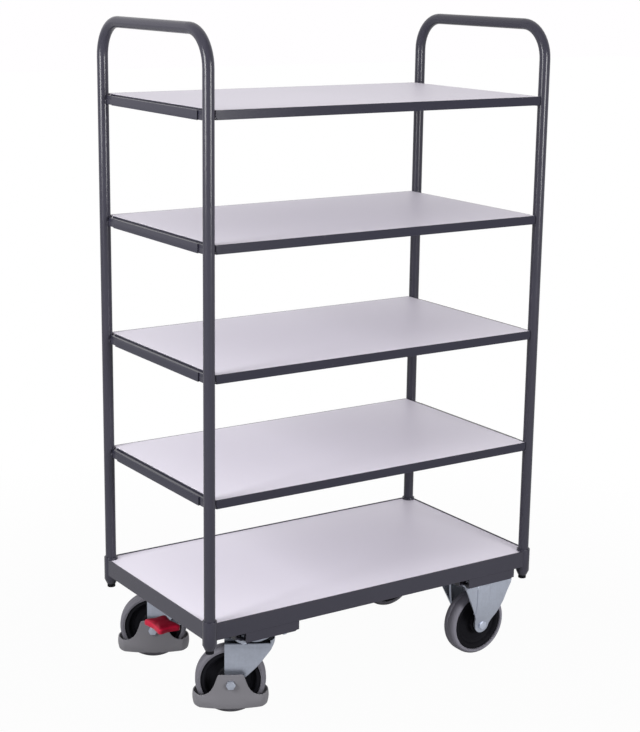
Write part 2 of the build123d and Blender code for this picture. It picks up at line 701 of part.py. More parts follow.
def foot_guard(place):
    """Open hoop with a tall hump at each side, held on the axle by a boss against each fork leg."""
    hub = Vector(*place, 0) - CASTER_AHEAD * TRAIL
    level = Plane(origin=hub, x_dir=CASTER_AHEAD, z_dir=UP)
    side_on = upright_plane(CASTER_AHEAD, hub)
    flat, ease, hump_foot = GUARD_HUMP_FLAT / 2, GUARD_HUMP_EASE / 2, GUARD_HUMP_FOOT / 2
    with BuildPart() as guard:
        with BuildSketch(level.offset(GUARD_BOTTOM)):
            with BuildLine():
                guard_plan(0)
            make_face()
            with BuildLine():
                guard_plan(GUARD_WALL)
            make_face(mode=Mode.SUBTRACT)
        extrude(amount=GUARD_HUMP_TOP - GUARD_BOTTOM)
        with BuildSketch(side_on):
            with BuildLine():
                Polyline(
                    (-hump_foot, GUARD_BAND_TOP),
                    (-GUARD_LENGTH, GUARD_BAND_TOP),
                    (-GUARD_LENGTH, 0),
                    (GUARD_LENGTH, 0),
                    (GUARD_LENGTH, GUARD_BAND_TOP),
                    (hump_foot, GUARD_BAND_TOP),
                )
                Bezier(
                    (hump_foot, GUARD_BAND_TOP),
                    (ease, GUARD_BAND_TOP),
                    (ease, GUARD_HUMP_TOP),
                    (flat, GUARD_HUMP_TOP),
                )
                Line((flat, GUARD_HUMP_TOP), (-flat, GUARD_HUMP_TOP))
                Bezier(
                    (-flat, GUARD_HUMP_TOP),
                    (-ease, GUARD_HUMP_TOP),
                    (-ease, GUARD_BAND_TOP),
                    (-hump_foot, GUARD_BAND_TOP),
                )
            make_face()
        extrude(amount=GUARD_WIDTH, both=True, mode=Mode.INTERSECT)
        for way in (-1, 1):
            with BuildSketch(side_on.offset(way * (FORK_OUT + FACE_GAP))):
                with Locations((0, AXLE_Z)):
                    Circle(GUARD_BOSS_OD / 2)
            extrude(amount=way * (GUARD_WIDTH / 2 - GUARD_WALL / 2 - FORK_OUT - FACE_GAP))
        with BuildSketch(side_on):
            with Locations((0, AXLE_Z)):
                Circle(AXLE_DIAMETER / 2 + FIT)
        extrude(amount=GUARD_WIDTH, both=True, mode=Mode.SUBTRACT)
    return guard.part


for side_name, side in SIDES.items():
    place = (SWIVEL_X, side * CASTER_Y)
    hub = Vector(*place, AXLE_Z) - CASTER_AHEAD * TRAIL
    save(swivel_plate(place), f"{side_name}_swivel_plate")
    save(ball_race(place), f"{side_name}_ball_race")
    save(kingpin(place), f"{side_name}_kingpin")
    save(fork(place), f"{side_name}_fork")
    save(foot_guard(place), f"{side_name}_foot_guard")
    save(wheel_axle(hub, CASTER_AXLE, GUARD_WIDTH / 2), f"{side_name}_swivel_axle")
    save_wheel(hub, CASTER_AXLE, f"{side_name}_swivel")


# Fixed casters


def fixed_leg_line(grow):
    """One leg's outer line from the plate's edge down past the axle, moved out by the given amount."""
    Spline(
        (PLATE_WIDTH / 2 + grow, INSTALL_HEIGHT),
        (FIXED_SHOULDER_OUT + grow, AXLE_Z + FIXED_SHOULDER_RISE),
        (FIXED_WAIST_OUT + grow, AXLE_Z + FIXED_WAIST_RISE),
        (FIXED_OUT + grow, FIXED_ANKLE_Z),
        tangents=((0, -1), (0, -1)),
    )
    Line((FIXED_OUT + grow, FIXED_ANKLE_Z), (FIXED_OUT + grow, 0))


def fixed_leg_strip(inner, outer):
    """Outline of one leg's section, between two lines moved out by the given amounts."""
    fixed_leg_line(outer)
    Line((FIXED_OUT + outer, 0), (FIXED_OUT + inner, 0))
    fixed_leg_line(inner)
    Line((PLATE_WIDTH / 2 + inner, INSTALL_HEIGHT), (PLATE_WIDTH / 2 + outer, INSTALL_HEIGHT))


def fixed_bracket(place):
    """Plate and two legs with a raised panel, curving from the plate's long edges in to the axle."""
    foot = (*place, 0)
    across = upright_plane((0, 1, 0), foot)
    side_on = upright_plane((1, 0, 0), foot)
    with BuildPart() as bracket:
        with BuildSketch(across):
            with BuildLine():
                fixed_leg_strip(-FIXED_SHEET, 0)
            make_face()
            mirror(about=Plane.YZ)
        extrude(amount=PLATE_LENGTH / 2, both=True)
        with BuildSketch(across):
            with BuildLine():
                fixed_leg_strip(-FIXED_SHEET / 2, RIB_RISE)
            make_face()
            rib_height = INSTALL_HEIGHT - PLATE_THICKNESS - FIXED_ANKLE_Z - RIB_END_GAP
            with Locations((0, FIXED_ANKLE_Z + RIB_END_GAP)):
                Rectangle(2 * PLATE_WIDTH, rib_height, align=(Align.CENTER, Align.MIN), mode=Mode.INTERSECT)
            mirror(about=Plane.YZ)
        extrude(amount=RIB_WIDTH / 2, both=True)
        with BuildSketch(side_on):
            with BuildLine():
                Polyline(
                    (-PLATE_LENGTH / 2, INSTALL_HEIGHT),
                    (PLATE_LENGTH / 2, INSTALL_HEIGHT),
                    (PLATE_LENGTH / 2, INSTALL_HEIGHT - FIXED_EDGE_DROP),
                    (FIXED_TAPER_WIDTH / 2, AXLE_Z + FIXED_TAPER_RISE),
                    (FIXED_FOOT_RADIUS, AXLE_Z),
                    (-FIXED_FOOT_RADIUS, AXLE_Z),
                    (-FIXED_TAPER_WIDTH / 2, AXLE_Z + FIXED_TAPER_RISE),
                    (-PLATE_LENGTH / 2, INSTALL_HEIGHT - FIXED_EDGE_DROP),
                    close=True,
                )
            make_face()
            with Locations((0, AXLE_Z)):
                Circle(FIXED_FOOT_RADIUS)
        extrude(amount=PLATE_WIDTH, both=True, mode=Mode.INTERSECT)
        with BuildSketch(Plane.XY.offset(INSTALL_HEIGHT)):
            with Locations(place):
                Rectangle(PLATE_LENGTH, PLATE_WIDTH - FIXED_SHEET)
        extrude(amount=-PLATE_THICKNESS)
        with BuildSketch(Plane.XY.offset(INSTALL_HEIGHT)):
            with Locations(place):
                with GridLocations(BOLT_PATTERN_LENGTH, BOLT_PATTERN_WIDTH, 2, 2):
                    Circle(BOLT_DIAMETER / 2 + BOLT_HOLE_GAP)
        extrude(amount=-PLATE_THICKNESS, mode=Mode.SUBTRACT)
        with BuildSketch(side_on):
            with Locations((0, AXLE_Z)):
                Circle(AXLE_DIAMETER / 2 + FIT)
        extrude(amount=PLATE_WIDTH, both=True, mode=Mode.SUBTRACT)
    return bracket.part


for side_name, side in SIDES.items():
    place = (FIXED_X, side * CASTER_Y)
    hub = Vector(*place, AXLE_Z)
    across_axle = Vector(0, 1, 0)
    save(fixed_bracket(place), f"{side_name}_fixed_bracket")
    save(wheel_axle(hub, across_axle, FIXED_OUT), f"{side_name}_fixed_axle")
    save_wheel(hub, across_axle, f"{side_name}_fixed")


# Central brake

SHAFT_PLANE = upright_plane((1, 0, 0), (SWIVEL_X, 0, SHAFT_Z))

with BuildPart() as brake_shaft:
    with BuildSketch(SHAFT_PLANE):
        Circle(SHAFT_DIAMETER / 2)
    extrude(amount=CASTER_Y + SHAFT_OVERHANG, both=True)
    for side in SIDES.values():
        with BuildSketch(SHAFT_PLANE.offset(side * CASTER_Y)):
            Circle(CAM_HUB_RADIUS)
            with Locations((-CAM_THROW, 0)):
                Circle(CAM_RADIUS)
            make_hull()
        extrude(amount=CAM_WIDTH / 2, both=True)
save(brake_shaft.part, "brake_shaft")

with BuildPart() as shaft_bearings:
    for side in SIDES.values():
        with BuildSketch(SHAFT_PLANE.offset(side * (CASTER_Y - BEARING_BLOCK_INSET))):
            with Locations((0, WEB_TOP - SHAFT_Z)):
                Rectangle(
                    BEARING_BLOCK_LENGTH,
                    SHAFT_Z - WEB_TOP + SHAFT_DIAMETER / 2 + BEARING_BLOCK_TOP,
                    align=(Align.CENTER, Align.MIN),
                )
            Circle(SHAFT_DIAMETER / 2 + RUNNING_FIT, mode=Mode.SUBTRACT)
        extrude(amount=BEARING_BLOCK_WIDTH / 2, both=True)
save(shaft_bearings.part, "shaft_bearings")

PEDAL_INNER = PEDAL_OUT + PEDAL_LENGTH
ARM_BOTTOM = PEDAL_TOP - PEDAL_THICKNESS

with BuildPart() as brake_pedal:
    with BuildSketch(Plane.XY.offset(PEDAL_TOP)):
        with Locations((PEDAL_OUT, 0)):
            outline = Rectangle(PEDAL_LENGTH, PEDAL_WIDTH, align=(Align.MIN, Align.CENTER))
        fillet(outline.vertices().group_by(Axis.X)[0], PEDAL_CORNER)
        fillet(outline.vertices().group_by(Axis.X)[-1], PEDAL_INNER_CORNER)
    extrude(amount=-PEDAL_THICKNESS)
    with BuildSketch(upright_plane((1, 0, 0))):
        with BuildLine():
            Polyline(
                (PEDAL_INNER, ARM_BOTTOM),
                (PEDAL_INNER, ARM_BOTTOM + ARM_THICKNESS),
                (SWIVEL_X - ARM_KNEE, ARM_BOTTOM + ARM_THICKNESS),
                (SWIVEL_X - ARM_THICKNESS, SHAFT_Z),
                (SWIVEL_X + ARM_THICKNESS, SHAFT_Z),
                (SWIVEL_X - ARM_KNEE + ARM_THICKNESS, ARM_BOTTOM),
                close=True,
            )
        make_face()
    extrude(amount=ARM_WIDTH / 2, both=True)
    with BuildSketch(SHAFT_PLANE):
        Circle(PEDAL_HUB_OD / 2)
    extrude(amount=PEDAL_HUB_LENGTH / 2, both=True)
    with BuildSketch(SHAFT_PLANE):
        Circle(SHAFT_DIAMETER / 2 + FIT)
    extrude(amount=PEDAL_HUB_LENGTH, both=True, mode=Mode.SUBTRACT)
save(brake_pedal.part, "brake_pedal")


def brake_plunger(place):
    """Push rod down the hollow kingpin, with a cap under the cam and a pad over the tyre."""
    pad_top = CROWN_BOTTOM - FACE_GAP - KINGPIN_NUT - PLUNGER_PAD_GAP
    with BuildPart() as plunger:
        with BuildSketch(Plane.XY.offset(CAP_TOP)):
            with Locations(place):
                Circle(PLUNGER_CAP_OD / 2)
        extrude(amount=-PLUNGER_CAP)
        with BuildSketch(Plane.XY.offset(CAP_TOP)):
            with Locations(place):
                Circle(KINGPIN_BORE / 2 - RUNNING_FIT)
        extrude(amount=pad_top - CAP_TOP)
        with BuildSketch(Plane.XY.offset(pad_top)):
            with Locations(place):
                Circle(PLUNGER_PAD_OD / 2)
        extrude(amount=-PLUNGER_PAD)
    return plunger.part


for side_name, side in SIDES.items():
    save(brake_plunger((SWIVEL_X, side * CASTER_Y)), f"{side_name}_brake_plunger")
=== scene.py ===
"""Shelf trolley for the studio: painted tube and sheet, melamine boards, pressed and moulded casters."""
import json
import math

import bmesh
import bpy
from bpy.props import FloatProperty, FloatVectorProperty, PointerProperty
from mathutils import Matrix, Vector


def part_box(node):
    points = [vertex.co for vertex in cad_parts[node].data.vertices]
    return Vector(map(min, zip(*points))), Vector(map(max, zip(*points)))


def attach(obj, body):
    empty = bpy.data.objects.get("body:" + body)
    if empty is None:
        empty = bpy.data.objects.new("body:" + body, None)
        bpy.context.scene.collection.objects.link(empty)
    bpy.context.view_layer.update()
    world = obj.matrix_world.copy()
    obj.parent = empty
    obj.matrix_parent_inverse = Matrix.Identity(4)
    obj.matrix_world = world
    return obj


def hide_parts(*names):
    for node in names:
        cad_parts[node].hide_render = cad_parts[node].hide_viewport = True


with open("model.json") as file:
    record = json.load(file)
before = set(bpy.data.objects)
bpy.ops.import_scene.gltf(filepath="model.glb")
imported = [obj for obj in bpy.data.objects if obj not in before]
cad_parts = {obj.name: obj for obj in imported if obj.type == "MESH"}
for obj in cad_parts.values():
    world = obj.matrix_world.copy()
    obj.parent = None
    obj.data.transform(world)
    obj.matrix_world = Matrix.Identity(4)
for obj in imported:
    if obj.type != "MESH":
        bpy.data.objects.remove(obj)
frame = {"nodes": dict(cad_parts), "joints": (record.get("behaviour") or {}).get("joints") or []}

bl_info = {
    "name": "Shelf trolley",
    "version": (1, 0, 0),
    "blender": (4, 5, 0),
    "location": "3D View > Sidebar > Trolley",
    "description": "Dresses the packed shelf trolley with its pressed, moulded and painted pieces",
    "category": "Object",
}

NODES = frame["nodes"]
JOINTS = {joint["name"]: joint for joint in frame["joints"]}
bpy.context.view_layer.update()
MM = 0.001
SIDES = ("front", "rear")
ENDS = ("left", "right")
SHELVES = (1, 2, 3, 4)
UP = Vector((0, 0, 1))

# Sizes of the formed pieces, in millimetres
RAIL_DROP = 10.5
RAIL_HEIGHT = 12.0
RACE_WALL = 14.0
WHEEL_RADIUS = 80.0
FORK = {
    "out": 27.5, "top": 181.0, "shoulder": 168.0, "sheet": 3.5, "foot": 14.0, "foot_low": 66.0, "trail": 54.0,
    "crown": 6.0, "crown_radius": 46.0, "seat": 30.0, "pin": 8.05, "rim": 0.6,
    "crease": ((66, 12), (181, 52)), "flare": 0.04, "kick": 0.06, "panel": 1.4,
    "front": (
        (80, 14), (86, 26), (93, 35.5), (102, 44.5), (116, 58), (130, 70), (148, 83.5), (158, 91.3),
        (164, 95.8), (168, 98.4), (172, 99.7), (176, 100), (181, 100),
    ),
}
GUARD = {
    "length": 170.0, "width": 88.0, "end_reach": 70.0, "end_width": 66.0, "bottom": 21.0, "band_top": 51.0,
    "flank": ((71, 51), (34, 51), (34, 103), (27, 103)), "boss": 14.0, "bore": 6.1, "head": 50.5, "rim": 0.9,
}
BRACKET = {
    "out": 31.0, "top": 200.0, "edge": 55.0, "sheet": 4.0, "foot": 20.5, "head": 37.5, "rim": 0.6,
    "calf": ((32, 70), (33, 92), (51, 104), (54, 150)),
    "shoulder": ((54, 150), (54.8, 164), (55, 178), (55, 192)),
    "half": ((80, 20.5), (88, 23.4), (97, 27.2), (191, 70), (200, 70)),
    "panel": 1.2, "steps": ((-35, -4.0), (3, 1.8), (46, 2.2)), "ramp": 1.2,
    "sides": (-37, 48), "turn_in": 0.15,
}
TYRE = {"half": 20.0, "inner": 68.1, "shoulder": 71.1, "flat": 8.0}
HUB = {"half": 22.0, "seat": 12.0, "bearing": 16.1, "outer": 24.0}
HOOK = {
    "sheet": 2.5, "deep": 15.2, "sink": 1.5, "rim": 0.3, "lip": 3.0, "seat": 10.4, "drop": 23.0,
    "half": 192.0, "board": 17.0, "ledge": 20.0, "tongue": 22.0, "gap": 0.05,
}
BEAD = {
    "steps": 48, "sides": 12, "sweep": 105, "ahead": 3.5, "round": 5.0, "over": 2.0, "off": 0.2, "puddles": 7,
}
PEDAL = {
    "half": 40.5, "length": 44.0, "cover": 7.0, "top": 176.0, "thick": 12.0, "corner": 12.0, "draw": 6.0,
}
ARM = {
    "half": 12.0, "thick": 7.0, "under": 18.0, "knee": 20.0, "bend": ((-14, 0), (2, 0), (3, 0), (9, 14)),
    "end": (-2, -4), "hub": 15.0, "hub_radius": 12.0, "bore": 6.1,
}

# Studio, in metres: each lamp's place, aim, size and share of power; the camera's yaw, pitch and roll
LAMPS = {
    "left_strip": ((-2.6, -0.3, 1.6), (0, 0, 1.35), (1.0, 1.2), 1.5),
    "right_strip": ((0.45, -2.95, 1.4), (0, 0, 1.4), (0.8, 1.2), 1.45),
    "overhead": ((-1.6, -0.6, 3.4), (0, 0, 0.7), (2.4, 2.4), 1.0),
}
WALL_WAY = (0.555, 0.832, 0)
CAMERA_PLACE = (-2.12554, -3.17455, 1.65305)
CAMERA_DEGREES = (33.7297, 13.6371, 0.7888)

# Height in metres above which painted shade gathers in the zinc's hollows
PAINTED_SHADE_LOW = 0.154


# Settings that a user would change


def colour_setting(name, description, default):
    """One colour of a finish, as a property."""
    return FloatVectorProperty(
        name=name, description=description, subtype="COLOR", size=3, min=0, max=1, default=default
    )


def length_setting(name, description, millimetres):
    """One small size of a formed piece, as a property in metres."""
    return FloatProperty(
        name=name, description=description, subtype="DISTANCE", unit="LENGTH", min=0, default=millimetres * MM
    )


class TrolleyFinish(bpy.types.PropertyGroup):
    """Colours of the finishes."""

    paint: colour_setting("Paint", "Anthracite powder coat on tubes, rails and sheet", (0.030, 0.029, 0.041))
    # Painted shade: the shelves' edges take a darker copy of the paint
    shelf: colour_setting("Shelf paint", "Deeper coat of the shelves' edges", (0.0185, 0.018, 0.030))
    board: colour_setting("Board", "Melamine face of the shelves and the deck", (0.63, 0.602, 0.675))
    zinc: colour_setting("Zinc", "Bright zinc plating on caster steel and bolts", (0.39, 0.42, 0.495))
    guard: colour_setting("Guard", "Moulded grey plastic of the foot guards", (0.137, 0.134, 0.148))
    rubber: colour_setting("Rubber", "Grey rubber of the tyres", (0.130, 0.126, 0.150))
    core: colour_setting("Wheel centre", "Black plastic of wheel centres and plugs", (0.006, 0.006, 0.008))
    pedal: colour_setting("Pedal", "Red plastic of the brake pedal's cover", (0.37, 0.004, 0.028))


class TrolleyForm(bpy.types.PropertyGroup):
    """Small sizes of the formed pieces."""

    edge: length_setting("Sheet edge", "Rounding along the edges of painted sheet steel", 0.7)
    board_edge: length_setting("Board edge", "Rounding along the edges of the boards", 0.12)
    weld: length_setting("Weld", "Radius of the weld beads in the end frames", 2.4)
    fork_bend: length_setting("Fork bend", "Outer radius of the bends at the top of a fork's legs", 4.0)
    bracket_bend: length_setting("Bracket bend", "Outer radius of the folds in a fixed bracket", 8.0)
    guard_wall: length_setting("Guard wall", "Wall of the moulded foot guards", 3.0)
    guard_flare: length_setting("Guard flare", "How far a foot guard's band bulges out at half height", 2.0)
    pedal_crown: length_setting("Pedal crown", "Rise of the pedal's middle above its edges", 3.0)


class TrolleyStage(bpy.types.PropertyGroup):
    """Camera and light."""

    lens: FloatProperty(name="Lens", description="Length for a 36 mm frame", unit="CAMERA", default=82.25)
    strips: FloatProperty(name="Strips", description="Power of the two strip lamps, in watts", default=46.0)
    overhead: FloatProperty(name="Overhead", description="Power of the overhead lamp, in watts", default=6.0)
    ambient: FloatProperty(name="Ambient", description="Strength of the room's even light", default=1.05)


# Shader tools


class Wire:
    """A shader socket whose arithmetic adds Math nodes; with no socket, the start of a material's tree."""

    def __init__(self, tree, socket=None):
        self.tree = tree
        self.socket = socket

    def node(self, kind, settings=None, inputs=None, out=0):
        """Add one node: its settings first, then its values and links, and give back one of its outputs."""
        made = self.tree.nodes.new(kind)
        for name, value in (settings or {}).items():
            if name == "stops":
                ramp = made.color_ramp
                for place, _ in value[2:]:
                    ramp.elements.new(place)
                for element, (place, shade) in zip(ramp.elements, sorted(value)):
                    element.position = place
                    element.color = (shade, shade, shade, 1)
            else:
                setattr(made, name, value)
        for name, value in (inputs or {}).items():
            if isinstance(value, Wire):
                self.tree.links.new(value.socket, made.inputs[name])
            else:
                made.inputs[name].default_value = value
        return Wire(self.tree, made.outputs[out] if made.outputs else None)

    def math(self, operation, first, second):
        """One Math node."""
        return self.node("ShaderNodeMath", {"operation": operation}, {0: first, 1: second})

    def __add__(self, other):
        return self.math("ADD", self, other)

    def __radd__(self, other):
        return self.math("ADD", other, self)

    def __sub__(self, other):
        return self.math("SUBTRACT", self, other)

    def __rsub__(self, other):
        return self.math("SUBTRACT", other, self)

    def __mul__(self, other):
        return self.math("MULTIPLY", self, other)

    def __rmul__(self, other):
        return self.math("MULTIPLY", other, self)

    def limit(self):
        """The value held between 0 and 1."""
        return self.node("ShaderNodeClamp", None, {"Value": self})

    def larger(self, other):
        """The larger of two values."""
        return self.math("MAXIMUM", self, other)

    def blend(self, first, second):
        """Two colours mixed, with this value as the share of the second."""
        return self.node(
            "ShaderNodeMix", {"data_type": "RGBA"}, {0: self, 6: opaque(first), 7: opaque(second)}, out=2
        )

    def noise(self, place, scale, detail=2.0, rough=0.5):
        """Noise between 0 and 1 over the given coordinates, in features per metre."""
        inputs = {"Vector": place, "Scale": scale, "Detail": detail, "Roughness": rough}
        return self.node("ShaderNodeTexNoise", None, inputs)

    def steps(self, *stops):
        """This value through a ramp of greys."""
        return self.node("ShaderNodeValToRGB", {"stops": stops}, {"Fac": self})


def opaque(colour):
    """A colour with full alpha, or a socket as it is."""
    return colour if isinstance(colour, Wire) else (*colour[:3], 1)


def shade(colour, factor):
    """A colour made lighter or darker."""
    return tuple(min(1.0, part * factor) for part in colour[:3])


def new_finish(name):
    """An empty material, the start of its tree and the coordinates that stay on the piece."""
    material = bpy.data.materials.new(name)
    material.use_nodes = True
    material.node_tree.nodes.clear()
    start = Wire(material.node_tree)
    return material, start, start.node("ShaderNodeTexCoord", out="Object")


def bumped(height, depth, strength):
    """A normal from a height between 0 and 1, with its depth in metres."""
    return height.node("ShaderNodeBump", None, {"Strength": strength, "Distance": depth, "Height": height})


def surface(start, inputs):
    """Principled surface joined to the material's output."""
    principled = start.node("ShaderNodeBsdfPrincipled", None, inputs)
    start.node("ShaderNodeOutputMaterial", None, {"Surface": principled})


def coat(name, paint):
    """Semi-gloss powder coat with a fine orange peel and faint handling marks."""
    material, start, place = new_finish(name)
    cloud = start.noise(place, 6.0, 3.0)
    peel = start.noise(place, 420.0, 2.0)
    rubbed = start.noise(place, 34.0, 6.0, 0.65).steps((0.0, 0.0), (0.60, 0.0), (0.78, 1.0))
    fleck = start.noise(place, 1600.0, 1.0)
    body = cloud.blend(shade(paint, 0.93), shade(paint, 1.08))
    body = (0.25 * fleck).blend(body, shade(paint, 1.35))
    surface(start, {
        "Base Color": (0.18 * rubbed).blend(body, shade(paint, 1.7)),
        "Roughness": 0.20 + 0.05 * cloud + 0.08 * rubbed,
        "Normal": bumped(peel, 0.00006, 0.5),
        "Specular IOR Level": 0.3,
    })
    return material


def powder_coat(finish):
    """Anthracite coat of the end frames and the base."""
    return coat("anthracite_powder_coat", finish.paint)


def shelf_coat_painted_shade(finish):
    """Darker copy of the anthracite coat on the shelves' edge angles and hook plates, as painted shade."""
    return coat("shelf_powder_coat_painted_shade", finish.shelf)


def melamine(finish):
    """Light grey melamine with a fine pearl structure and a faint cloudiness."""
    material, start, place = new_finish("melamine_board")
    cloud = start.noise(place, 3.0, 4.0)
    pearl = start.noise(place, 700.0, 3.0, 0.6)
    speck = start.noise(place, 260.0, 2.0).steps((0.0, 0.0), (0.62, 0.0), (0.72, 1.0))
    body = cloud.blend(shade(finish.board, 0.975), shade(finish.board, 1.02))
    surface(start, {
        "Base Color": (0.10 * speck).blend(body, shade(finish.board, 0.86)),
        "Roughness": 0.40 + 0.08 * cloud + 0.06 * pearl,
        "Normal": bumped(pearl, 0.00005, 0.6),
    })
    return material


def zinc(finish, name, tint, shade_share, metal):
    """Zinc plating: soft streaks, small crystals, cloudy gloss and, by a share, painted shade in hollows
    under the base.
    """
    material, start, place = new_finish(name)
    plating = shade(finish.zinc, tint)
    cloud = start.noise(place, 22.0, 4.0)
    along = start.node("ShaderNodeMapping", None, {"Vector": place, "Scale": (260.0, 260.0, 14.0)})
    streak = start.noise(along, 1.0, 3.0)
    crystal = start.node(
        "ShaderNodeTexVoronoi", {"feature": "F1"}, {"Vector": place, "Scale": 240.0}, out="Color"
    )
    crystal = start.node("ShaderNodeSeparateColor", None, {0: crystal})
    tone = 0.45 * cloud + 0.35 * streak + 0.20 * crystal
    open_air = start.node("ShaderNodeAmbientOcclusion", {"samples": 8}, {"Distance": 0.045}, out="AO")
    height = start.node("ShaderNodeSeparateXYZ", None, {0: place}, out="Z")
    # Painted shade: the base colour darkens where ambient occlusion finds the zinc closed in, above a given
    # height
    painted_shade = shade_share * (2.6 - 4.0 * open_air).limit() * (80.0 * (height - PAINTED_SHADE_LOW)).limit()
    bright = tone.blend(shade(plating, 0.82), shade(plating, 1.18))
    surface(start, {
        "Base Color": painted_shade.blend(bright, shade(plating, 0.04)),
        "Metallic": metal,
        "Roughness": 0.30 + 0.14 * cloud + 0.05 * crystal + 0.2 * painted_shade,
        "Normal": bumped(streak, 0.00004, 0.4),
    })
    return material


def race_zinc(finish):
    """Plating on the forks and races, with full painted shade in their hollows under the base."""
    return zinc(finish, "race_zinc", 1.0, 1.0, 0.92)


def sheet_zinc(finish):
    """Plating on the fixed brackets, caster plates, pins, swivel axles, bearings and the brake."""
    return zinc(finish, "sheet_zinc", 1.0, 0.1, 0.75)


def turned_zinc_painted_highlight(finish):
    """Plating on the caster bolts and nuts and the fixed casters' axles, made lighter as a painted highlight.
    """
    return zinc(finish, "turned_zinc_painted_highlight", 1.3, 0.35, 0.85)


def guard_plastic(finish):
    """Spark-eroded grey plastic with fine grain and light scuffs."""
    material, start, place = new_finish("guard_plastic")
    cloud = start.noise(place, 14.0, 3.0)
    grain = start.noise(place, 900.0, 2.0)
    scuff = start.noise(place, 70.0, 6.0, 0.7).steps((0.0, 0.0), (0.60, 0.0), (0.74, 1.0))
    body = cloud.blend(shade(finish.guard, 0.94), shade(finish.guard, 1.06))
    surface(start, {
        "Base Color": (0.22 * scuff).blend(body, shade(finish.guard, 1.45)),
        "Roughness": 0.46 + 0.10 * grain + 0.08 * scuff,
        "Normal": bumped(grain, 0.00008, 0.6),
    })
    return material


def rubber(name, grey):
    """Non-marking rubber, matt, with dust in its pores and painted shade where the floor and other parts
    close in.
    """
    material, start, place = new_finish(name)
    cloud = start.noise(place, 25.0, 4.0)
    pore = start.noise(place, 650.0, 3.0, 0.6)
    body = cloud.blend(shade(grey, 0.90), shade(grey, 1.10))
    open_air = start.node("ShaderNodeAmbientOcclusion", {"samples": 8}, {"Distance": 0.05}, out="AO")
    # Painted shade: the base colour darkens where ambient occlusion finds the tyre closed in by the floor and
    # the guard
    painted_shade = (1.0 - 1.6 * open_air).limit()
    dusty = (0.30 * pore).blend(body, shade(grey, 1.35))
    surface(start, {
        "Base Color": painted_shade.blend(dusty, shade(grey, 0.45)),
        "Roughness": 0.62 + 0.14 * pore,
        "Normal": bumped(pore, 0.00010, 0.6),
    })
    return material


def fixed_rubber_painted_light(finish):
    """Rubber of the fixed wheels, made lighter as painted light."""
    return rubber("fixed_rubber_painted_light", shade(finish.rubber, 1.2))


def swivel_rubber(finish):
    """Rubber of the swivel wheels, made darker as painted shade."""
    return rubber("swivel_rubber", shade(finish.rubber, 0.8))


def black_plastic(finish):
    """Black moulded plastic of the wheel centres, with flow marks."""
    material, start, place = new_finish("black_plastic")
    cloud = start.noise(place, 30.0, 4.0)
    grain = start.noise(place, 800.0, 2.0)
    surface(start, {
        "Base Color": cloud.blend(shade(finish.core, 0.7), shade(finish.core, 1.4)),
        "Roughness": 0.50 + 0.14 * cloud,
        "Normal": bumped(grain, 0.00006, 0.5),
        "Specular IOR Level": 0.06,
    })
    return material


def red_plastic(finish):
    """Bright red plastic with a moulded grain, scuffs from shoes, and its upward faces darkened as painted
    shade.
    """
    material, start, place = new_finish("red_plastic")
    cloud = start.noise(place, 40.0, 3.0)
    grain = start.noise(place, 900.0, 2.0)
    scuff = start.noise(place, 110.0, 6.0, 0.7).steps((0.0, 0.0), (0.58, 0.0), (0.72, 1.0))
    body = cloud.blend(shade(finish.pedal, 0.92), shade(finish.pedal, 1.08))
    normal = start.node("ShaderNodeNewGeometry", out="Normal")
    facing = start.node("ShaderNodeSeparateXYZ", None, {0: normal}, out="Z")
    # Painted shade: faces that point up, under the base, are darkened
    painted_shade_on_top = facing.steps((0.0, 0.0), (0.74, 0.0), (0.95, 0.9))
    worn = (0.18 * scuff).blend(body, shade(finish.pedal, 0.6))
    surface(start, {
        "Base Color": painted_shade_on_top.blend(worn, shade(finish.pedal, 0.36)),
        "Roughness": 0.40 + 0.10 * grain + 0.15 * scuff,
        "Normal": bumped(grain, 0.00005, 0.5),
        "Specular IOR Level": 0.25,
    })
    return material


FINISHES = {
    "frame_paint": powder_coat,
    "shelf_shaded_paint": shelf_coat_painted_shade,
    "board": melamine,
    "zinc": sheet_zinc,
    "zinc_race": race_zinc,
    "zinc_turned": turned_zinc_painted_highlight,
    "guard_plastic": guard_plastic,
    "tyre": fixed_rubber_painted_light,
    "tyre_swivel": swivel_rubber,
    "wheel_core": black_plastic,
    "black_plastic": black_plastic,
    "pedal_red": red_plastic,
}
ready = {}


def finish_for(slot):
    """The material of one of the record's slots, or of a kind of it, made once."""
    maker = FINISHES[slot]
    if maker not in ready:
        ready[maker] = maker(bpy.context.scene.trolley_finish)
    return ready[maker]


# Mesh tools


def dress(node, slot, edge=0.0):
    """Give a CAD node its finish and, where asked, rounded edges."""
    piece = NODES[node]
    piece.data.materials.clear()
    piece.data.materials.append(finish_for(slot))
    if edge:
        weld = piece.modifiers.new("joined", "WELD")
        weld.merge_threshold = 1e-5
        flat = piece.modifiers.new("flat_faces", "DECIMATE")
        flat.decimate_type = "DISSOLVE"
        flat.angle_limit = math.radians(0.5)
        round_edges(piece, edge, 2, 40)


def round_edges(piece, width, segments, angle):
    """Bevel the edges that turn by more than an angle in degrees."""
    bevel = piece.modifiers.new("rounded_edges", "BEVEL")
    bevel.width = width
    bevel.segments = segments
    bevel.limit_method = "ANGLE"
    bevel.angle_limit = math.radians(angle)
    bevel.harden_normals = True


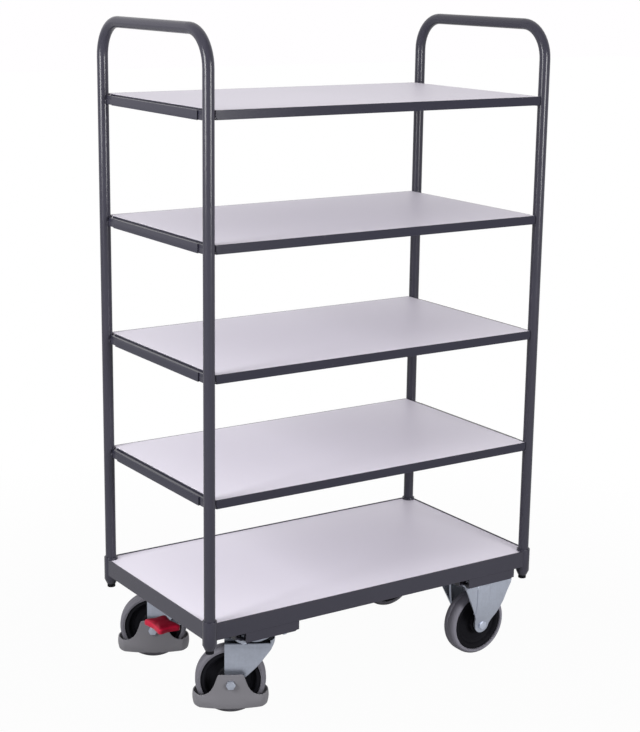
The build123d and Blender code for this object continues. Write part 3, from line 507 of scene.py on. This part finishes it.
def piece_from(bm, name, body, slot, stands_for=(), sharp=40.0, finish=None):
    """Finish a mesh in millimetres as a named piece that rides on a body and takes its look from a slot."""
    bmesh.ops.scale(bm, vec=(MM, MM, MM), verts=bm.verts)
    bmesh.ops.remove_doubles(bm, verts=bm.verts, dist=1e-7)
    bmesh.ops.recalc_face_normals(bm, faces=bm.faces)
    for face in bm.faces:
        face.smooth = True
    for edge in bm.edges:
        edge.smooth = len(edge.link_faces) != 2 or edge.calc_face_angle() < math.radians(sharp)
    mesh = bpy.data.meshes.new(name)
    bm.to_mesh(mesh)
    bm.free()
    piece = bpy.data.objects.new(name, mesh)
    bpy.context.scene.collection.objects.link(piece)
    mesh.materials.append(finish_for(finish or slot))
    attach(piece, body)
    if stands_for:
        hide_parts(*stands_for)
    return piece


def skin(bm, rows, closed=False):
    """Skin rows of points, each row as long as the next; closed joins each row's end to its start."""
    made = [[bm.verts.new(point) for point in row] for row in rows]
    for low, high in zip(made, made[1:]):
        for i in range(len(low) - (0 if closed else 1)):
            j = (i + 1) % len(low)
            bm.faces.new((low[i], low[j], high[j], high[i]))
    return made


def loft(bm, rows):
    """Skin closed rows and close both ends."""
    made = skin(bm, rows, closed=True)
    bm.faces.new(made[0])
    bm.faces.new(list(reversed(made[-1])))


def lathe(bm, place, profile, segments=96):
    """Turn a closed profile of (along the axle, radius) about the Y axis of a place."""
    rows = []
    for along, radius in [*profile, profile[0]]:
        turns = [2 * math.pi * i / segments for i in range(segments)]
        rows.append([place @ Vector((radius * math.cos(t), along, radius * math.sin(t))) for t in turns])
    skin(bm, rows, closed=True)


def lathe_pair(bm, place, profile):
    """Turn a profile at both ends of an axle."""
    for way in (-1, 1):
        lathe(bm, place, [(way * along, radius) for along, radius in profile], 48)


def mirrored(half, middle=()):
    """A line of (across, height) points, then any middle points, then the same line mirrored."""
    return [*half, *middle, *((-across, height) for across, height in reversed(half))]


def quarter(x, y, wide, tall, steps):
    """Points on a quarter of an ellipse, from beside its centre to above it."""
    turns = [math.pi / 2 * i / steps for i in range(steps + 1)]
    return [(x + wide * math.cos(t), y + tall * math.sin(t)) for t in turns]


def rounded(points, radius, steps):
    """A closed 2-D outline with its corners rounded."""
    line = [Vector(point) for point in points]
    made = []
    for before, corner, after in zip(line[-1:] + line[:-1], line, line[1:] + line[:1]):
        cut = min(radius, (before - corner).length * 0.49, (after - corner).length * 0.49)
        start = corner + (before - corner).normalized() * cut
        end = corner + (after - corner).normalized() * cut
        for i in range(steps + 1):
            t = i / steps
            made.append(start.lerp(corner, t).lerp(corner.lerp(end, t), t))
    return made


def arc(first, middle, last, count):
    """Points on the circle through three 2-D points, from the first up to but without the last."""
    (ax, ay), (bx, by), (cx, cy) = first, middle, last
    d = 2 * (ax * (by - cy) + bx * (cy - ay) + cx * (ay - by))
    ux = ((ax**2 + ay**2) * (by - cy) + (bx**2 + by**2) * (cy - ay) + (cx**2 + cy**2) * (ay - by)) / d
    uy = ((ax**2 + ay**2) * (cx - bx) + (bx**2 + by**2) * (ax - cx) + (cx**2 + cy**2) * (bx - ax)) / d
    radius = math.hypot(ax - ux, ay - uy)
    angles = [math.atan2(y - uy, x - ux) for x, y in (first, middle, last)]
    turn = (angles[2] - angles[0]) % (2 * math.pi)
    if (angles[1] - angles[0]) % (2 * math.pi) > turn:
        turn -= 2 * math.pi
    spots = [angles[0] + turn * i / count for i in range(count)]
    return [Vector((ux + radius * math.cos(t), uy + radius * math.sin(t))) for t in spots]


def curve(points, count):
    """Points on the cubic Bezier curve with four control points, both ends included."""
    a, b, c, d = (Vector(point) for point in points)
    made = []
    for i in range(count + 1):
        t = i / count
        s = 1 - t
        made.append(a * s**3 + b * (3 * s * s * t) + c * (3 * s * t * t) + d * t**3)
    return made


def on_line(stops, value):
    """Height of a broken line through (place, height) stops, held level beyond its ends."""
    if value <= stops[0][0]:
        return stops[0][1]
    for (x0, y0), (x1, y1) in zip(stops, stops[1:]):
        if value <= x1:
            return y0 + (y1 - y0) * (value - x0) / (x1 - x0)
    return stops[-1][1]


def ease(low, high, value):
    """0 at low, 1 at high and an even S between."""
    t = max(0.0, min(1.0, (value - low) / (high - low)))
    return t * t * (3 - 2 * t)


def thicken(piece, wall, rim):
    """Give a skin its wall, in metres, on its inner side, and round its rims."""
    solid = piece.modifiers.new("wall", "SOLIDIFY")
    solid.thickness = wall
    solid.offset = -1
    solid.use_even_offset = True
    round_edges(piece, rim, 3, 50)


def wheel_place(name):
    """Place of a wheel at rest, in millimetres: the hub is its origin, Y the axle, Z up and X ahead."""
    joint = JOINTS[f"{name}_wheel_spin"]
    axle = Vector(joint["axis"]).normalized()
    ahead = axle.cross(UP).normalized()
    turn = Matrix((ahead, axle, UP)).transposed().to_4x4()
    return Matrix.Translation(Vector(joint["pos_m"]) / MM) @ turn


def upright(place):
    """A place turned so that its Y axis, about which pieces are turned, stands upright."""
    return place @ Matrix.Rotation(math.pi / 2, 4, "X")


def turned_ring(low, high, bore, outer, chamfer):
    """Profile of a ring with chamfered outer edges."""
    return [
        (low, bore), (low, outer - chamfer), (low + chamfer, outer),
        (high - chamfer, outer), (high, outer - chamfer), (high, bore),
    ]


def head_domes(place, reach, name, body, finish):
    """Low domes on the ends of an axle's two heads."""
    dome = ((-0.2, 8.6), (0.1, 8.5), (0.5, 7.4), (0.95, 5.2), (1.4, 0.05))
    bm = bmesh.new()
    lathe_pair(bm, place, [(reach + along, radius) for along, radius in dome])
    piece_from(bm, name, body, "zinc", finish=finish)


# End frames


class TROLLEY_OT_end_frames(bpy.types.Operator):
    """Paint the end tubes and rails, and lay the weld beads between them"""

    bl_idname = "trolley.end_frames"
    bl_label = "End frames"

    def execute(self, context):
        form = context.scene.trolley_form
        for end in ENDS:
            dress(f"{end}_end_tube", "frame_paint")
            dress(f"{end}_end_rails", "frame_paint", form.edge)
            self.welds(end, form.weld / MM)
        return {"FINISHED"}

    def welds(self, end, radius):
        """Beads round the ends of the rails where they meet the posts."""
        tube_low, tube_high = (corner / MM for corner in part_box(f"{end}_end_tube"))
        rail_low, rail_high = (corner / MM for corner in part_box(f"{end}_end_rails"))
        post_x = (tube_low.x + tube_high.x) / 2
        post_radius = (tube_high.x - tube_low.x) / 2
        outer_x, inward = (rail_low.x, 1) if end == "left" else (rail_high.x, -1)
        post_y = tube_high.y - post_radius
        outer = math.acos((outer_x - post_x) / post_radius)
        bm = bmesh.new()
        for number in SHELVES:
            middle = (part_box(f"shelf_{number}_board")[1] / MM).z - RAIL_DROP - RAIL_HEIGHT / 2
            for side in (-1, 1):
                post = Vector((post_x, side * post_y, middle))
                self.bead(bm, post, post_radius, -side * outer, side * inward, radius)
        piece_from(bm, f"{end}_end_welds", "trolley", "frame_paint", sharp=80)

    def bead(self, bm, post, post_radius, outer, turn, radius):
        """One bead of overlapping puddles on a post, round the rail's outer edge from top to bottom."""
        turns = [2 * math.pi * k / BEAD["sides"] for k in range(BEAD["sides"])]
        rows = []
        for i in range(BEAD["steps"] + 1):
            t = 2 * i / BEAD["steps"] - 1
            sweep = math.radians(BEAD["sweep"]) * t
            around = outer + turn * (BEAD["ahead"] - BEAD["round"] * math.cos(sweep)) / post_radius
            outward = Vector((math.cos(around), math.sin(around), 0))
            rise = UP * (RAIL_HEIGHT / 2 + BEAD["over"]) * math.sin(sweep)
            spot = post + outward * (post_radius + BEAD["off"]) + rise
            swell = 0.85 + 0.15 * abs(math.sin(BEAD["puddles"] * math.pi * t + post.z))
            wide = max(0.02, radius * swell * math.sqrt(max(0.0, 1 - t**10)))
            along = (UP * math.cos(sweep) + outward.cross(UP) * turn * math.sin(sweep)).normalized()
            across = along.cross(outward)
            rows.append([spot + (across * math.cos(a) + outward * math.sin(a)) * wide for a in turns])
        skin(bm, rows, closed=True)


# Shelves and base


class TROLLEY_OT_shelves(bpy.types.Operator):
    """Dress the boards and edge angles of the four shelves, and fold their hook plates"""

    bl_idname = "trolley.shelves"
    bl_label = "Shelves"

    def execute(self, context):
        form = context.scene.trolley_form
        for number in SHELVES:
            dress(f"shelf_{number}_board", "board", form.board_edge)
            dress(f"shelf_{number}_edge_angles", "shelf_shaded_paint", form.edge)
            self.hooks(f"shelf_{number}", form)
        return {"FINISHED"}

    def hooks(self, shelf, form):
        """Folded plates at both ends: outer plate, lip over the end rail, upstand and ledge for the board."""
        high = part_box(f"{shelf}_end_hooks")[1] / MM
        top = high.z + HOOK["sink"]
        sheet, lip, inner = HOOK["sheet"], HOOK["lip"], HOOK["deep"] - HOOK["sheet"]
        far = inner + HOOK["tongue"]
        plate = ((0, HOOK["drop"]), (0, lip + 1.5), (0.5, lip + 0.5), (1.5, lip))
        plate += ((sheet, lip), (sheet, HOOK["drop"]))
        start, end = sheet + HOOK["gap"], inner - HOOK["gap"]
        bridge = ((start, lip), (end, lip), (end, HOOK["seat"]), (start, HOOK["seat"]))
        upstand = (
            (inner, HOOK["rim"]), (HOOK["deep"], HOOK["rim"]), (HOOK["deep"], HOOK["board"]),
            (far, HOOK["board"]), (far, HOOK["ledge"]), (inner, HOOK["ledge"]),
        )
        bm = bmesh.new()
        for outward in (-1, 1):
            for profile, half in ((plate, HOOK["half"]), (bridge, high.y), (upstand, high.y)):
                loft(bm, [
                    [(outward * (high.x - inset), y, top - below) for inset, below in profile]
                    for y in (-half, half)
                ])
        piece = piece_from(
            bm, f"{shelf}_hook_plates", "trolley", "frame_paint", (f"{shelf}_end_hooks",), 30, "shelf_shaded_paint"
        )
        round_edges(piece, form.board_edge, 2, 40)


class TROLLEY_OT_base(bpy.types.Operator):
    """Dress the deck, its rails, the corner sleeves, the cross-members and the bolts"""

    bl_idname = "trolley.base"
    bl_label = "Base"

    def execute(self, context):
        form = context.scene.trolley_form
        dress("deck_board", "board", form.board_edge)
        for side in (*SIDES, *ENDS):
            dress(f"base_{side}_rail", "frame_paint", form.edge)
        dress("corner_sleeves", "frame_paint", form.edge)
        dress("sleeve_plugs", "black_plastic", form.edge)
        for end in ENDS:
            dress(f"{end}_crossmember", "frame_paint", form.edge)
        dress("caster_bolts", "zinc_turned", form.edge)
        dress("caster_nuts", "zinc_turned", form.edge)
        return {"FINISHED"}


# Casters


class TROLLEY_OT_swivel_casters(bpy.types.Operator):
    """Form the pressed forks, ball races and foot guards of the swivel casters"""

    bl_idname = "trolley.swivel_casters"
    bl_label = "Swivel casters"

    def execute(self, context):
        form = context.scene.trolley_form
        for side in SIDES:
            place = wheel_place(f"{side}_swivel")
            for part in ("swivel_plate", "kingpin", "swivel_axle"):
                dress(f"{side}_{part}", "zinc", form.edge)
            self.race(side)
            self.fork(side, place, form)
            self.guard(side, place, form)
            head_domes(place, GUARD["head"], f"{side}_swivel_axle_domes", f"{side}_swivel", "zinc")
        return {"FINISHED"}

    def race(self, side):
        """Two pressed race rings with the ball gap between them."""
        low, high = (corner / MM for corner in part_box(f"{side}_ball_race"))
        outer, bore = (high.x - low.x) / 2, (high.x - low.x) / 2 - RACE_WALL
        middle = Vector(((low.x + high.x) / 2, (low.y + high.y) / 2, low.z))
        tall = high.z - low.z
        gap = tall * 0.42
        profile = [
            (0, bore), (0, outer - 3), (1.2, outer - 1.5), (gap - 1.5, outer - 1.5), (gap, outer - 3),
            (gap + 0.8, outer - 3), (gap + 1.6, outer), (tall - 3, outer), (tall, outer - 4), (tall, bore),
        ]
        bm = bmesh.new()
        lathe(bm, upright(Matrix.Translation(middle)), profile)
        piece_from(bm, f"{side}_race_rings", "trolley", "zinc", (f"{side}_ball_race",), finish="zinc_race")

    def fork(self, side, place, form):
        """One pressed sheet from leg to leg over the crown, the round crown plate and the nose wall."""
        bend = form.fork_bend / MM
        out, top = FORK["out"], FORK["top"]
        heights = [FORK["foot_low"] + step for step in (0, 0.4, 1.6, 3.6, 6.5, 10, 14, 19, 25)]
        heights += [93, 97, 102, 109, 116, 124, 132, 140, 148, 154, 158, 161, 164, 166.5, FORK["shoulder"]]
        half = [(out, z) for z in heights]
        half += quarter(out - bend, FORK["shoulder"], bend, bend, 4)[1:]
        half += [(15.5, 172.6), (14.4, 174), (13.8, 177), (12.6, 180), (10, top), (5, top)]
        bm = bmesh.new()
        skin(bm, [self.fork_row(y, z, place) for y, z in mirrored(half, [(0, top)])])
        name = f"{side}_fork_pressing"
        piece = piece_from(bm, name, f"{side}_swivel", "zinc", (f"{side}_fork",), 60, "zinc_race")
        thicken(piece, FORK["sheet"] * MM, FORK["rim"] * MM)
        bm = bmesh.new()
        pin = place @ Matrix.Translation((FORK["trail"], 0, top - WHEEL_RADIUS))
        rim, seat = FORK["crown_radius"], FORK["seat"]
        lathe(bm, upright(pin), turned_ring(-FORK["crown"], 0, FORK["pin"], seat, 1.6))
        rows = []
        slope = [(ahead, z) for z, ahead in FORK["front"] if z <= 172]
        for i in range(17):
            turn = math.asin(out / rim) * (i / 8 - 1)
            drop = on_line(slope, FORK["trail"] + rim * math.cos(turn)) - top
            wall = [(rim, -3), (rim, drop + 1), (rim - 0.8, drop)]
            wall += [(rim - 2.2, drop), (rim - 3, drop + 1), (rim - 3, -3)]
            rows.append([pin @ Vector((r * math.cos(turn), r * math.sin(turn), z)) for r, z in wall])
        loft(bm, rows)
        piece_from(bm, f"{side}_fork_crown", f"{side}_swivel", "zinc", (f"{side}_fork",), finish="zinc_race")

    def fork_row(self, y, z, place):
        """Points across the fork at one place of its section, from its rear edge to its front edge."""
        foot, shoulder = FORK["foot"], FORK["shoulder"]
        if z < WHEEL_RADIUS:
            reach = math.sqrt(max(0.0, foot**2 - (WHEEL_RADIUS - z) ** 2))
            rear, front = -reach, reach
        else:
            rear, front = -foot, on_line(FORK["front"], z)
        front = min(front, FORK["trail"] + math.sqrt(FORK["crown_radius"] ** 2 - y * y))
        crease = on_line(FORK["crease"], z)
        flare = FORK["flare"] + FORK["kick"] * ease(140, 112, z) * ease(97, 110, z)
        flare *= ease(shoulder, 145, z)
        panel = FORK["panel"] * ease(FORK["foot_low"] + 20, 110, z) * ease(shoulder, 156, z)
        row = []
        count = 16
        for i in range(count + 1):
            ahead = rear + (front - rear) * i / count
            lift = flare * max(0.0, ahead - crease) + panel * ease(3, 9, min(ahead - rear, front - ahead))
            row.append(place @ Vector((ahead, y + math.copysign(lift, y), z - WHEEL_RADIUS)))
        return row

    def guard(self, side, place, form):
        """Moulded hoop with a hump at each side, and the bosses between it and the fork."""
        length, width = GUARD["length"] / 2, GUARD["width"] / 2
        reach, end_width = GUARD["end_reach"], GUARD["end_width"] / 2
        plan = arc((-reach, end_width), (0, width), (reach, end_width), 44)
        plan += arc((reach, end_width), (length, 0), (reach, -end_width), 22)
        plan += arc((reach, -end_width), (0, -width), (-reach, -end_width), 44)
        plan += arc((-reach, -end_width), (-length, 0), (-reach, end_width), 22)
        flank = curve(GUARD["flank"], 16)
        stops = [(point.x, point.y) for point in reversed(flank)]
        levels = (0, 0.06, 0.18, 0.35, 0.55, 0.75, 0.9, 1)
        rows = []
        for level in levels:
            row = []
            for i, point in enumerate(plan):
                ahead, behind = plan[(i + 1) % len(plan)], plan[i - 1]
                run = (ahead - behind).normalized()
                outward = Vector((-run.y, run.x))
                top = on_line(stops, abs(point.x))
                height = GUARD["bottom"] + (top - GUARD["bottom"]) * level
                band = min(1.0, (height - GUARD["bottom"]) / (GUARD["band_top"] - GUARD["bottom"]))
                bulge = form.guard_flare / MM * (math.sin(math.pi * band) - 0.6 * (1 - band))
                spot = point + outward * bulge
                row.append(place @ Vector((spot.x, spot.y, height - WHEEL_RADIUS)))
            rows.append(row)
        bm = bmesh.new()
        skin(bm, rows, closed=True)
        piece = piece_from(
            bm, f"{side}_guard_shell", f"{side}_swivel", "guard_plastic", (f"{side}_foot_guard",), sharp=80
        )
        thicken(piece, form.guard_wall, GUARD["rim"] * MM)
        bm = bmesh.new()
        boss = turned_ring(FORK["out"] + 0.3, width - 1.5, GUARD["bore"], GUARD["boss"], 0.5)
        lathe_pair(bm, place, boss)
        piece_from(bm, f"{side}_guard_bosses", f"{side}_swivel", "guard_plastic", (f"{side}_foot_guard",))


class TROLLEY_OT_fixed_casters(bpy.types.Operator):
    """Form the pressed brackets of the fixed casters, and dress their axles"""

    bl_idname = "trolley.fixed_casters"
    bl_label = "Fixed casters"

    def execute(self, context):
        form = context.scene.trolley_form
        for side in SIDES:
            place = wheel_place(f"{side}_fixed")
            self.bracket(side, place, form)
            dress(f"{side}_fixed_axle", "zinc_turned", form.edge)
            head_domes(place, BRACKET["head"], f"{side}_fixed_axle_domes", "trolley", "zinc_turned")
        return {"FINISHED"}

    def bracket(self, side, place, form):
        """One sheet from foot to foot over the top, with steps pressed into each leg."""
        bend, top, edge = form.bracket_bend / MM, BRACKET["top"], BRACKET["edge"]
        foot = BRACKET["foot"]
        leg = [(BRACKET["out"] + 0.1 * step, WHEEL_RADIUS - foot + step) for step in (0, 0.5, 2, 4.5, 8)]
        leg += [tuple(point) for point in curve(BRACKET["calf"], 18)]
        leg += [tuple(point) for point in curve(BRACKET["shoulder"], 6)[1:]]
        leg += quarter(edge - bend, top - bend, bend, bend, 6) + [(32, top), (16, top)]
        bm = bmesh.new()
        skin(bm, [self.bracket_row(y, z, place) for y, z in mirrored(leg, [(0, top)])])
        piece = piece_from(
            bm, f"{side}_bracket_pressing", "trolley", "zinc", (f"{side}_fixed_bracket",), sharp=60
        )
        thicken(piece, BRACKET["sheet"] * MM, BRACKET["rim"] * MM)

    def bracket_row(self, y, z, place):
        """Points along the trolley at one place of the section, with pressed steps and turned-in sides."""
        ramp, steps = BRACKET["ramp"], BRACKET["steps"]
        left, right = BRACKET["sides"]
        if z < WHEEL_RADIUS:
            half = math.sqrt(max(0.0, BRACKET["foot"] ** 2 - (WHEEL_RADIUS - z) ** 2))
        else:
            half = on_line(BRACKET["half"], z)
        columns = set(range(-70, 71, 7))
        for step, _ in steps:
            columns.update(step + offset for offset in (-2.4, -1.2, -0.4, 0.4, 1.2, 2.4))
        pressed = ease(94, 108, z) * ease(BRACKET["top"] - 4, BRACKET["top"] - 14, z)
        row = []
        for column in sorted(columns):
            along = max(-half, min(half, column))
            lift = sum(rise * ease(step - ramp, step + ramp, along) for step, rise in steps)
            lift += BRACKET["panel"] - BRACKET["turn_in"] * max(0.0, left - along, along - right)
            row.append(place @ Vector((along, y + math.copysign(lift * pressed, y), z - WHEEL_RADIUS)))
        return row


# Wheels and brake


class TROLLEY_OT_wheels(bpy.types.Operator):
    """Turn the tyres and wheel centres, and dress the bearings"""

    bl_idname = "trolley.wheels"
    bl_label = "Wheels"

    def execute(self, context):
        for side in SIDES:
            for kind in ("swivel", "fixed"):
                name = f"{side}_{kind}"
                place = wheel_place(name)
                self.tyre(name, place)
                self.core(name, place)
                dress(f"{name}_wheel_bearings", "zinc", context.scene.trolley_form.edge)
        return {"FINISHED"}

    def tyre(self, name, place):
        """Crowned tread with rounded shoulders, a lip at the rim and a fine moulding line."""
        half, inner, shoulder = TYRE["half"], TYRE["inner"], TYRE["shoulder"]
        flat = TYRE["flat"]
        edge = [(half - 1.6, inner), (half - 0.3, inner + 0.4), (half, inner + 1.4)]
        edge += [(half - 0.5, inner + 2.4), (half - 0.3, shoulder + 0.6)]
        edge += quarter(flat, shoulder, half - flat, WHEEL_RADIUS - shoulder, 12)[1:]
        edge += [(0.5, WHEEL_RADIUS), (0.25, WHEEL_RADIUS - 0.25)]
        bm = bmesh.new()
        lathe(bm, place, mirrored(edge), 144)
        finish = "tyre_swivel" if "swivel" in name else "tyre"
        piece_from(bm, f"{name}_tyre_ring", f"{name}_wheel", "tyre", (f"{name}_wheel_tyre",), 50, finish)

    def core(self, name, place):
        """Wheel centre: hub collar, dished web with two steps, and the rim under the tyre."""
        half, bearing, outer = HUB["half"], HUB["bearing"], HUB["outer"]
        side = [
            (HUB["seat"], bearing), (half - 0.6, bearing + 0.2), (half, bearing + 1), (half, outer - 1.5),
            (half - 1.5, outer), (9.5, outer + 2.5), (6.5, outer + 6), (6.0, 46), (7.5, 48), (7.5, 49.5),
            (9.5, 54), (15.0, 57), (17.0, 59.5), (17.0, 65), (16.0, 67.6), (14.5, 68),
        ]
        bm = bmesh.new()
        lathe(bm, place, mirrored(side), 120)
        piece_from(bm, f"{name}_wheel_disc", f"{name}_wheel", "wheel_core", (f"{name}_wheel_core",), sharp=32)


class TROLLEY_OT_brake(bpy.types.Operator):
    """Mould the pedal's cover, bend its arm, and dress the shaft, bearing blocks and plungers"""

    bl_idname = "trolley.brake"
    bl_label = "Brake"

    def execute(self, context):
        form = context.scene.trolley_form
        self.cover(form)
        self.arm()
        dress("brake_shaft", "zinc", form.edge)
        dress("shaft_bearings", "zinc", form.edge)
        for side in SIDES:
            dress(f"{side}_brake_plunger", "zinc", form.edge)
        return {"FINISHED"}

    def cover(self, form):
        """Pedal cover with drawn-in sides, rounded edges and a crowned top."""
        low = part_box("brake_pedal")[0] / MM
        out, half, top = low.x - PEDAL["cover"], PEDAL["half"], PEDAL["top"]
        inner = low.x + PEDAL["length"] + PEDAL["cover"]
        middle = Vector(((out + inner) / 2, 0))
        draw = PEDAL["draw"]
        corners = (
            (out, -half), (middle.x, draw - half), (inner, -half), (inner - draw, 0),
            (inner, half), (middle.x, half - draw), (out, half), (out + draw, 0),
        )
        outline = rounded(corners, PEDAL["corner"], 8)
        crown, base = form.pedal_crown / MM, -PEDAL["thick"]
        rings = [(-2.0, base + 1.5), (-0.6, base), (0.0, base + 0.6), (-0.3, -3.2), (-0.9, -2.0)]
        rings += [(-2.6, -0.6), (-5.0, 0.2), (-8.0, 0.5 * crown), (-12.0, 0.85 * crown), (-17.0, crown)]
        rows = []
        for inset, rise in rings:
            row = []
            for point in outline:
                arm = point - middle
                near = arm + arm.normalized() * inset
                row.append(Vector((middle.x + near.x, middle.y + near.y, top + rise)))
            rows.append(row)
        bm = bmesh.new()
        loft(bm, rows)
        piece_from(bm, "pedal_cover", "brake", "pedal_red", ("brake_pedal",), sharp=55)

    def arm(self):
        """Flat steel arm from under the cover to the hub on the shaft."""
        shaft = Vector(JOINTS["brake_press"]["pos_m"]) / MM
        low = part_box("brake_pedal")[0] / MM
        thin, half = ARM["thick"] / 2, ARM["half"]
        knee = Vector((shaft.x - ARM["knee"], PEDAL["top"] - PEDAL["thick"] + thin))
        path = [Vector((low.x + ARM["under"], knee.y))]
        path += [knee + point for point in curve(ARM["bend"], 6)]
        path += [shaft.xz + Vector(ARM["end"])]
        section = rounded(((-thin, -half), (thin, -half), (thin, half), (-thin, half)), 1.2, 3)
        rows = []
        for i, spot in enumerate(path):
            ahead = (path[min(i + 1, len(path) - 1)] - path[max(i - 1, 0)]).normalized()
            side = Vector((-ahead.y, ahead.x))
            rows.append([(spot.x + side.x * s.x, s.y, spot.y + side.y * s.x) for s in section])
        bm = bmesh.new()
        loft(bm, rows)
        hub = turned_ring(-ARM["hub"], ARM["hub"], ARM["bore"], ARM["hub_radius"], 1)
        lathe(bm, Matrix.Translation(shaft), hub, 64)
        piece_from(bm, "pedal_arm", "brake", "zinc", ("brake_pedal",))


# Stage


def ray_share(start, camera, others):
    """Share of plain white that a ray sees: one for the camera's rays, one for reflected and passed rays."""
    seen = start.node("ShaderNodeLightPath", out="Is Camera Ray")
    glossy = start.node("ShaderNodeLightPath", out="Is Glossy Ray")
    passed = start.node("ShaderNodeLightPath", out="Is Transmission Ray")
    return (seen * camera).larger(glossy.larger(passed) * others)


class TROLLEY_OT_stage(bpy.types.Operator):
    """Set up the floor, the white room, the lamps and the camera"""

    bl_idname = "trolley.stage"
    bl_label = "Stage"

    def execute(self, context):
        stage = context.scene.trolley_stage
        self.floor()
        self.room(stage)
        self.lamp("left_strip", stage.strips)
        self.lamp("right_strip", stage.strips)
        self.lamp("overhead", stage.overhead)
        self.camera(stage)
        context.scene.view_settings.view_transform = "Standard"
        return {"FINISHED"}

    def floor(self):
        """Plain pale floor that shows as white and keeps the trolley's shadow."""
        bm = bmesh.new()
        bmesh.ops.create_grid(bm, x_segments=1, y_segments=1, size=20)
        mesh = bpy.data.meshes.new("studio_floor")
        bm.to_mesh(mesh)
        bm.free()
        floor = bpy.data.objects.new("studio_floor", mesh)
        bpy.context.scene.collection.objects.link(floor)
        material, start, place = new_finish("studio_floor")
        away = start.node("ShaderNodeVectorMath", {"operation": "LENGTH"}, {0: place}, out="Value")
        far = (away - 0.8).limit()
        paper = start.noise(place, 2.0).blend((0.19, 0.19, 0.19), (0.21, 0.21, 0.21))
        matt = start.node("ShaderNodeBsdfDiffuse", None, {"Color": paper})
        white = start.node("ShaderNodeEmission", None, {"Color": (1, 1, 1, 1), "Strength": 1.0})
        share = ray_share(start, 0.97 + 0.03 * far, 0.6)
        mixed = start.node("ShaderNodeMixShader", None, {0: share, 1: matt, 2: white})
        start.node("ShaderNodeOutputMaterial", None, {"Surface": mixed})
        mesh.materials.append(material)

    def room(self, stage):
        """Room with a white wall behind the trolley, a dim front and even light; white to the camera."""
        world = bpy.data.worlds.new("studio_room")
        bpy.context.scene.world = world
        world.use_nodes = True
        world.node_tree.nodes.clear()
        start = Wire(world.node_tree)
        way = start.node("ShaderNodeTexCoord", out="Generated")
        behind = start.node(
            "ShaderNodeVectorMath", {"operation": "DOT_PRODUCT"}, {0: way, 1: WALL_WAY}, out="Value"
        )
        behind = (0.4 + 1.5 * behind).limit()
        height = start.node("ShaderNodeSeparateXYZ", None, {0: way}, out="Z")
        walls, ceiling, front, white = (
            start.node("ShaderNodeBackground", None, {"Color": (1.0, 0.99, 1.0, 1), "Strength": strength})
            for strength in (stage.ambient, 0.75 * stage.ambient, 0.3, 1.0)
        )
        even = start.node("ShaderNodeMixShader", None, {0: (1.4 * height).limit(), 1: walls, 2: ceiling})
        shine = start.node("ShaderNodeMixShader", None, {0: behind, 1: front, 2: white})
        lit = start.node("ShaderNodeMixShader", None, {0: ray_share(start, 0.0, 1.0), 1: even, 2: shine})
        mixed = start.node("ShaderNodeMixShader", None, {0: ray_share(start, 1.0, 0.0), 1: lit, 2: white})
        start.node("ShaderNodeOutputWorld", None, {"Surface": mixed})

    def lamp(self, name, watts):
        """One rectangular soft lamp."""
        place, aim, size, share = LAMPS[name]
        light = bpy.data.lights.new(name, "AREA")
        light.shape = "RECTANGLE"
        light.size, light.size_y = size
        light.energy = share * watts
        lamp = bpy.data.objects.new(name, light)
        lamp.location = place
        lamp.rotation_mode = "QUATERNION"
        lamp.rotation_quaternion = (Vector(aim) - Vector(place)).to_track_quat("-Z", "Y")
        bpy.context.scene.collection.objects.link(lamp)

    def camera(self, stage):
        """Camera where the photograph was taken from."""
        yaw, pitch, roll = (math.radians(angle) for angle in CAMERA_DEGREES)
        ahead = Vector((math.sin(yaw) * math.cos(pitch), math.cos(yaw) * math.cos(pitch), -math.sin(pitch)))
        level = Vector((math.cos(yaw), -math.sin(yaw), 0))
        over = level.cross(ahead)
        right = math.cos(roll) * level + math.sin(roll) * over
        top = -math.sin(roll) * level + math.cos(roll) * over
        data = bpy.data.cameras.new("camera")
        data.lens = stage.lens
        camera = bpy.data.objects.new("camera", data)
        turn = Matrix((right, top, -ahead)).transposed().to_4x4()
        camera.matrix_world = Matrix.Translation(CAMERA_PLACE) @ turn
        bpy.context.scene.collection.objects.link(camera)
        bpy.context.scene.camera = camera


class TROLLEY_PT_sidebar(bpy.types.Panel):
    """Sidebar with the steps and settings of the trolley"""

    bl_idname = "TROLLEY_PT_sidebar"
    bl_label = "Shelf trolley"
    bl_space_type = "VIEW_3D"
    bl_region_type = "UI"
    bl_category = "Trolley"

    def draw(self, context):
        for step in STEPS:
            self.layout.operator(step.bl_idname)
        for group in ("trolley_finish", "trolley_form", "trolley_stage"):
            settings = getattr(context.scene, group)
            for name in settings.__annotations__:
                self.layout.prop(settings, name)


STEPS = (
    TROLLEY_OT_stage,
    TROLLEY_OT_end_frames,
    TROLLEY_OT_shelves,
    TROLLEY_OT_base,
    TROLLEY_OT_swivel_casters,
    TROLLEY_OT_fixed_casters,
    TROLLEY_OT_wheels,
    TROLLEY_OT_brake,
)
CLASSES = (TrolleyFinish, TrolleyForm, TrolleyStage, *STEPS, TROLLEY_PT_sidebar)


def register():
    """Register the classes and hang the settings on the scene."""
    for item in CLASSES:
        bpy.utils.register_class(item)
    bpy.types.Scene.trolley_finish = PointerProperty(type=TrolleyFinish)
    bpy.types.Scene.trolley_form = PointerProperty(type=TrolleyForm)
    bpy.types.Scene.trolley_stage = PointerProperty(type=TrolleyStage)


def unregister():
    """Take the settings and classes away again."""
    del bpy.types.Scene.trolley_stage
    del bpy.types.Scene.trolley_form
    del bpy.types.Scene.trolley_finish
    for item in reversed(CLASSES):
        bpy.utils.unregister_class(item)


def main():
    """Register the classes and run every step."""
    register()
    for step in STEPS:
        group, name = step.bl_idname.split(".")
        getattr(getattr(bpy.ops, group), name)()
    bpy.context.view_layer.update()


if __name__ == "__main__":
    main()
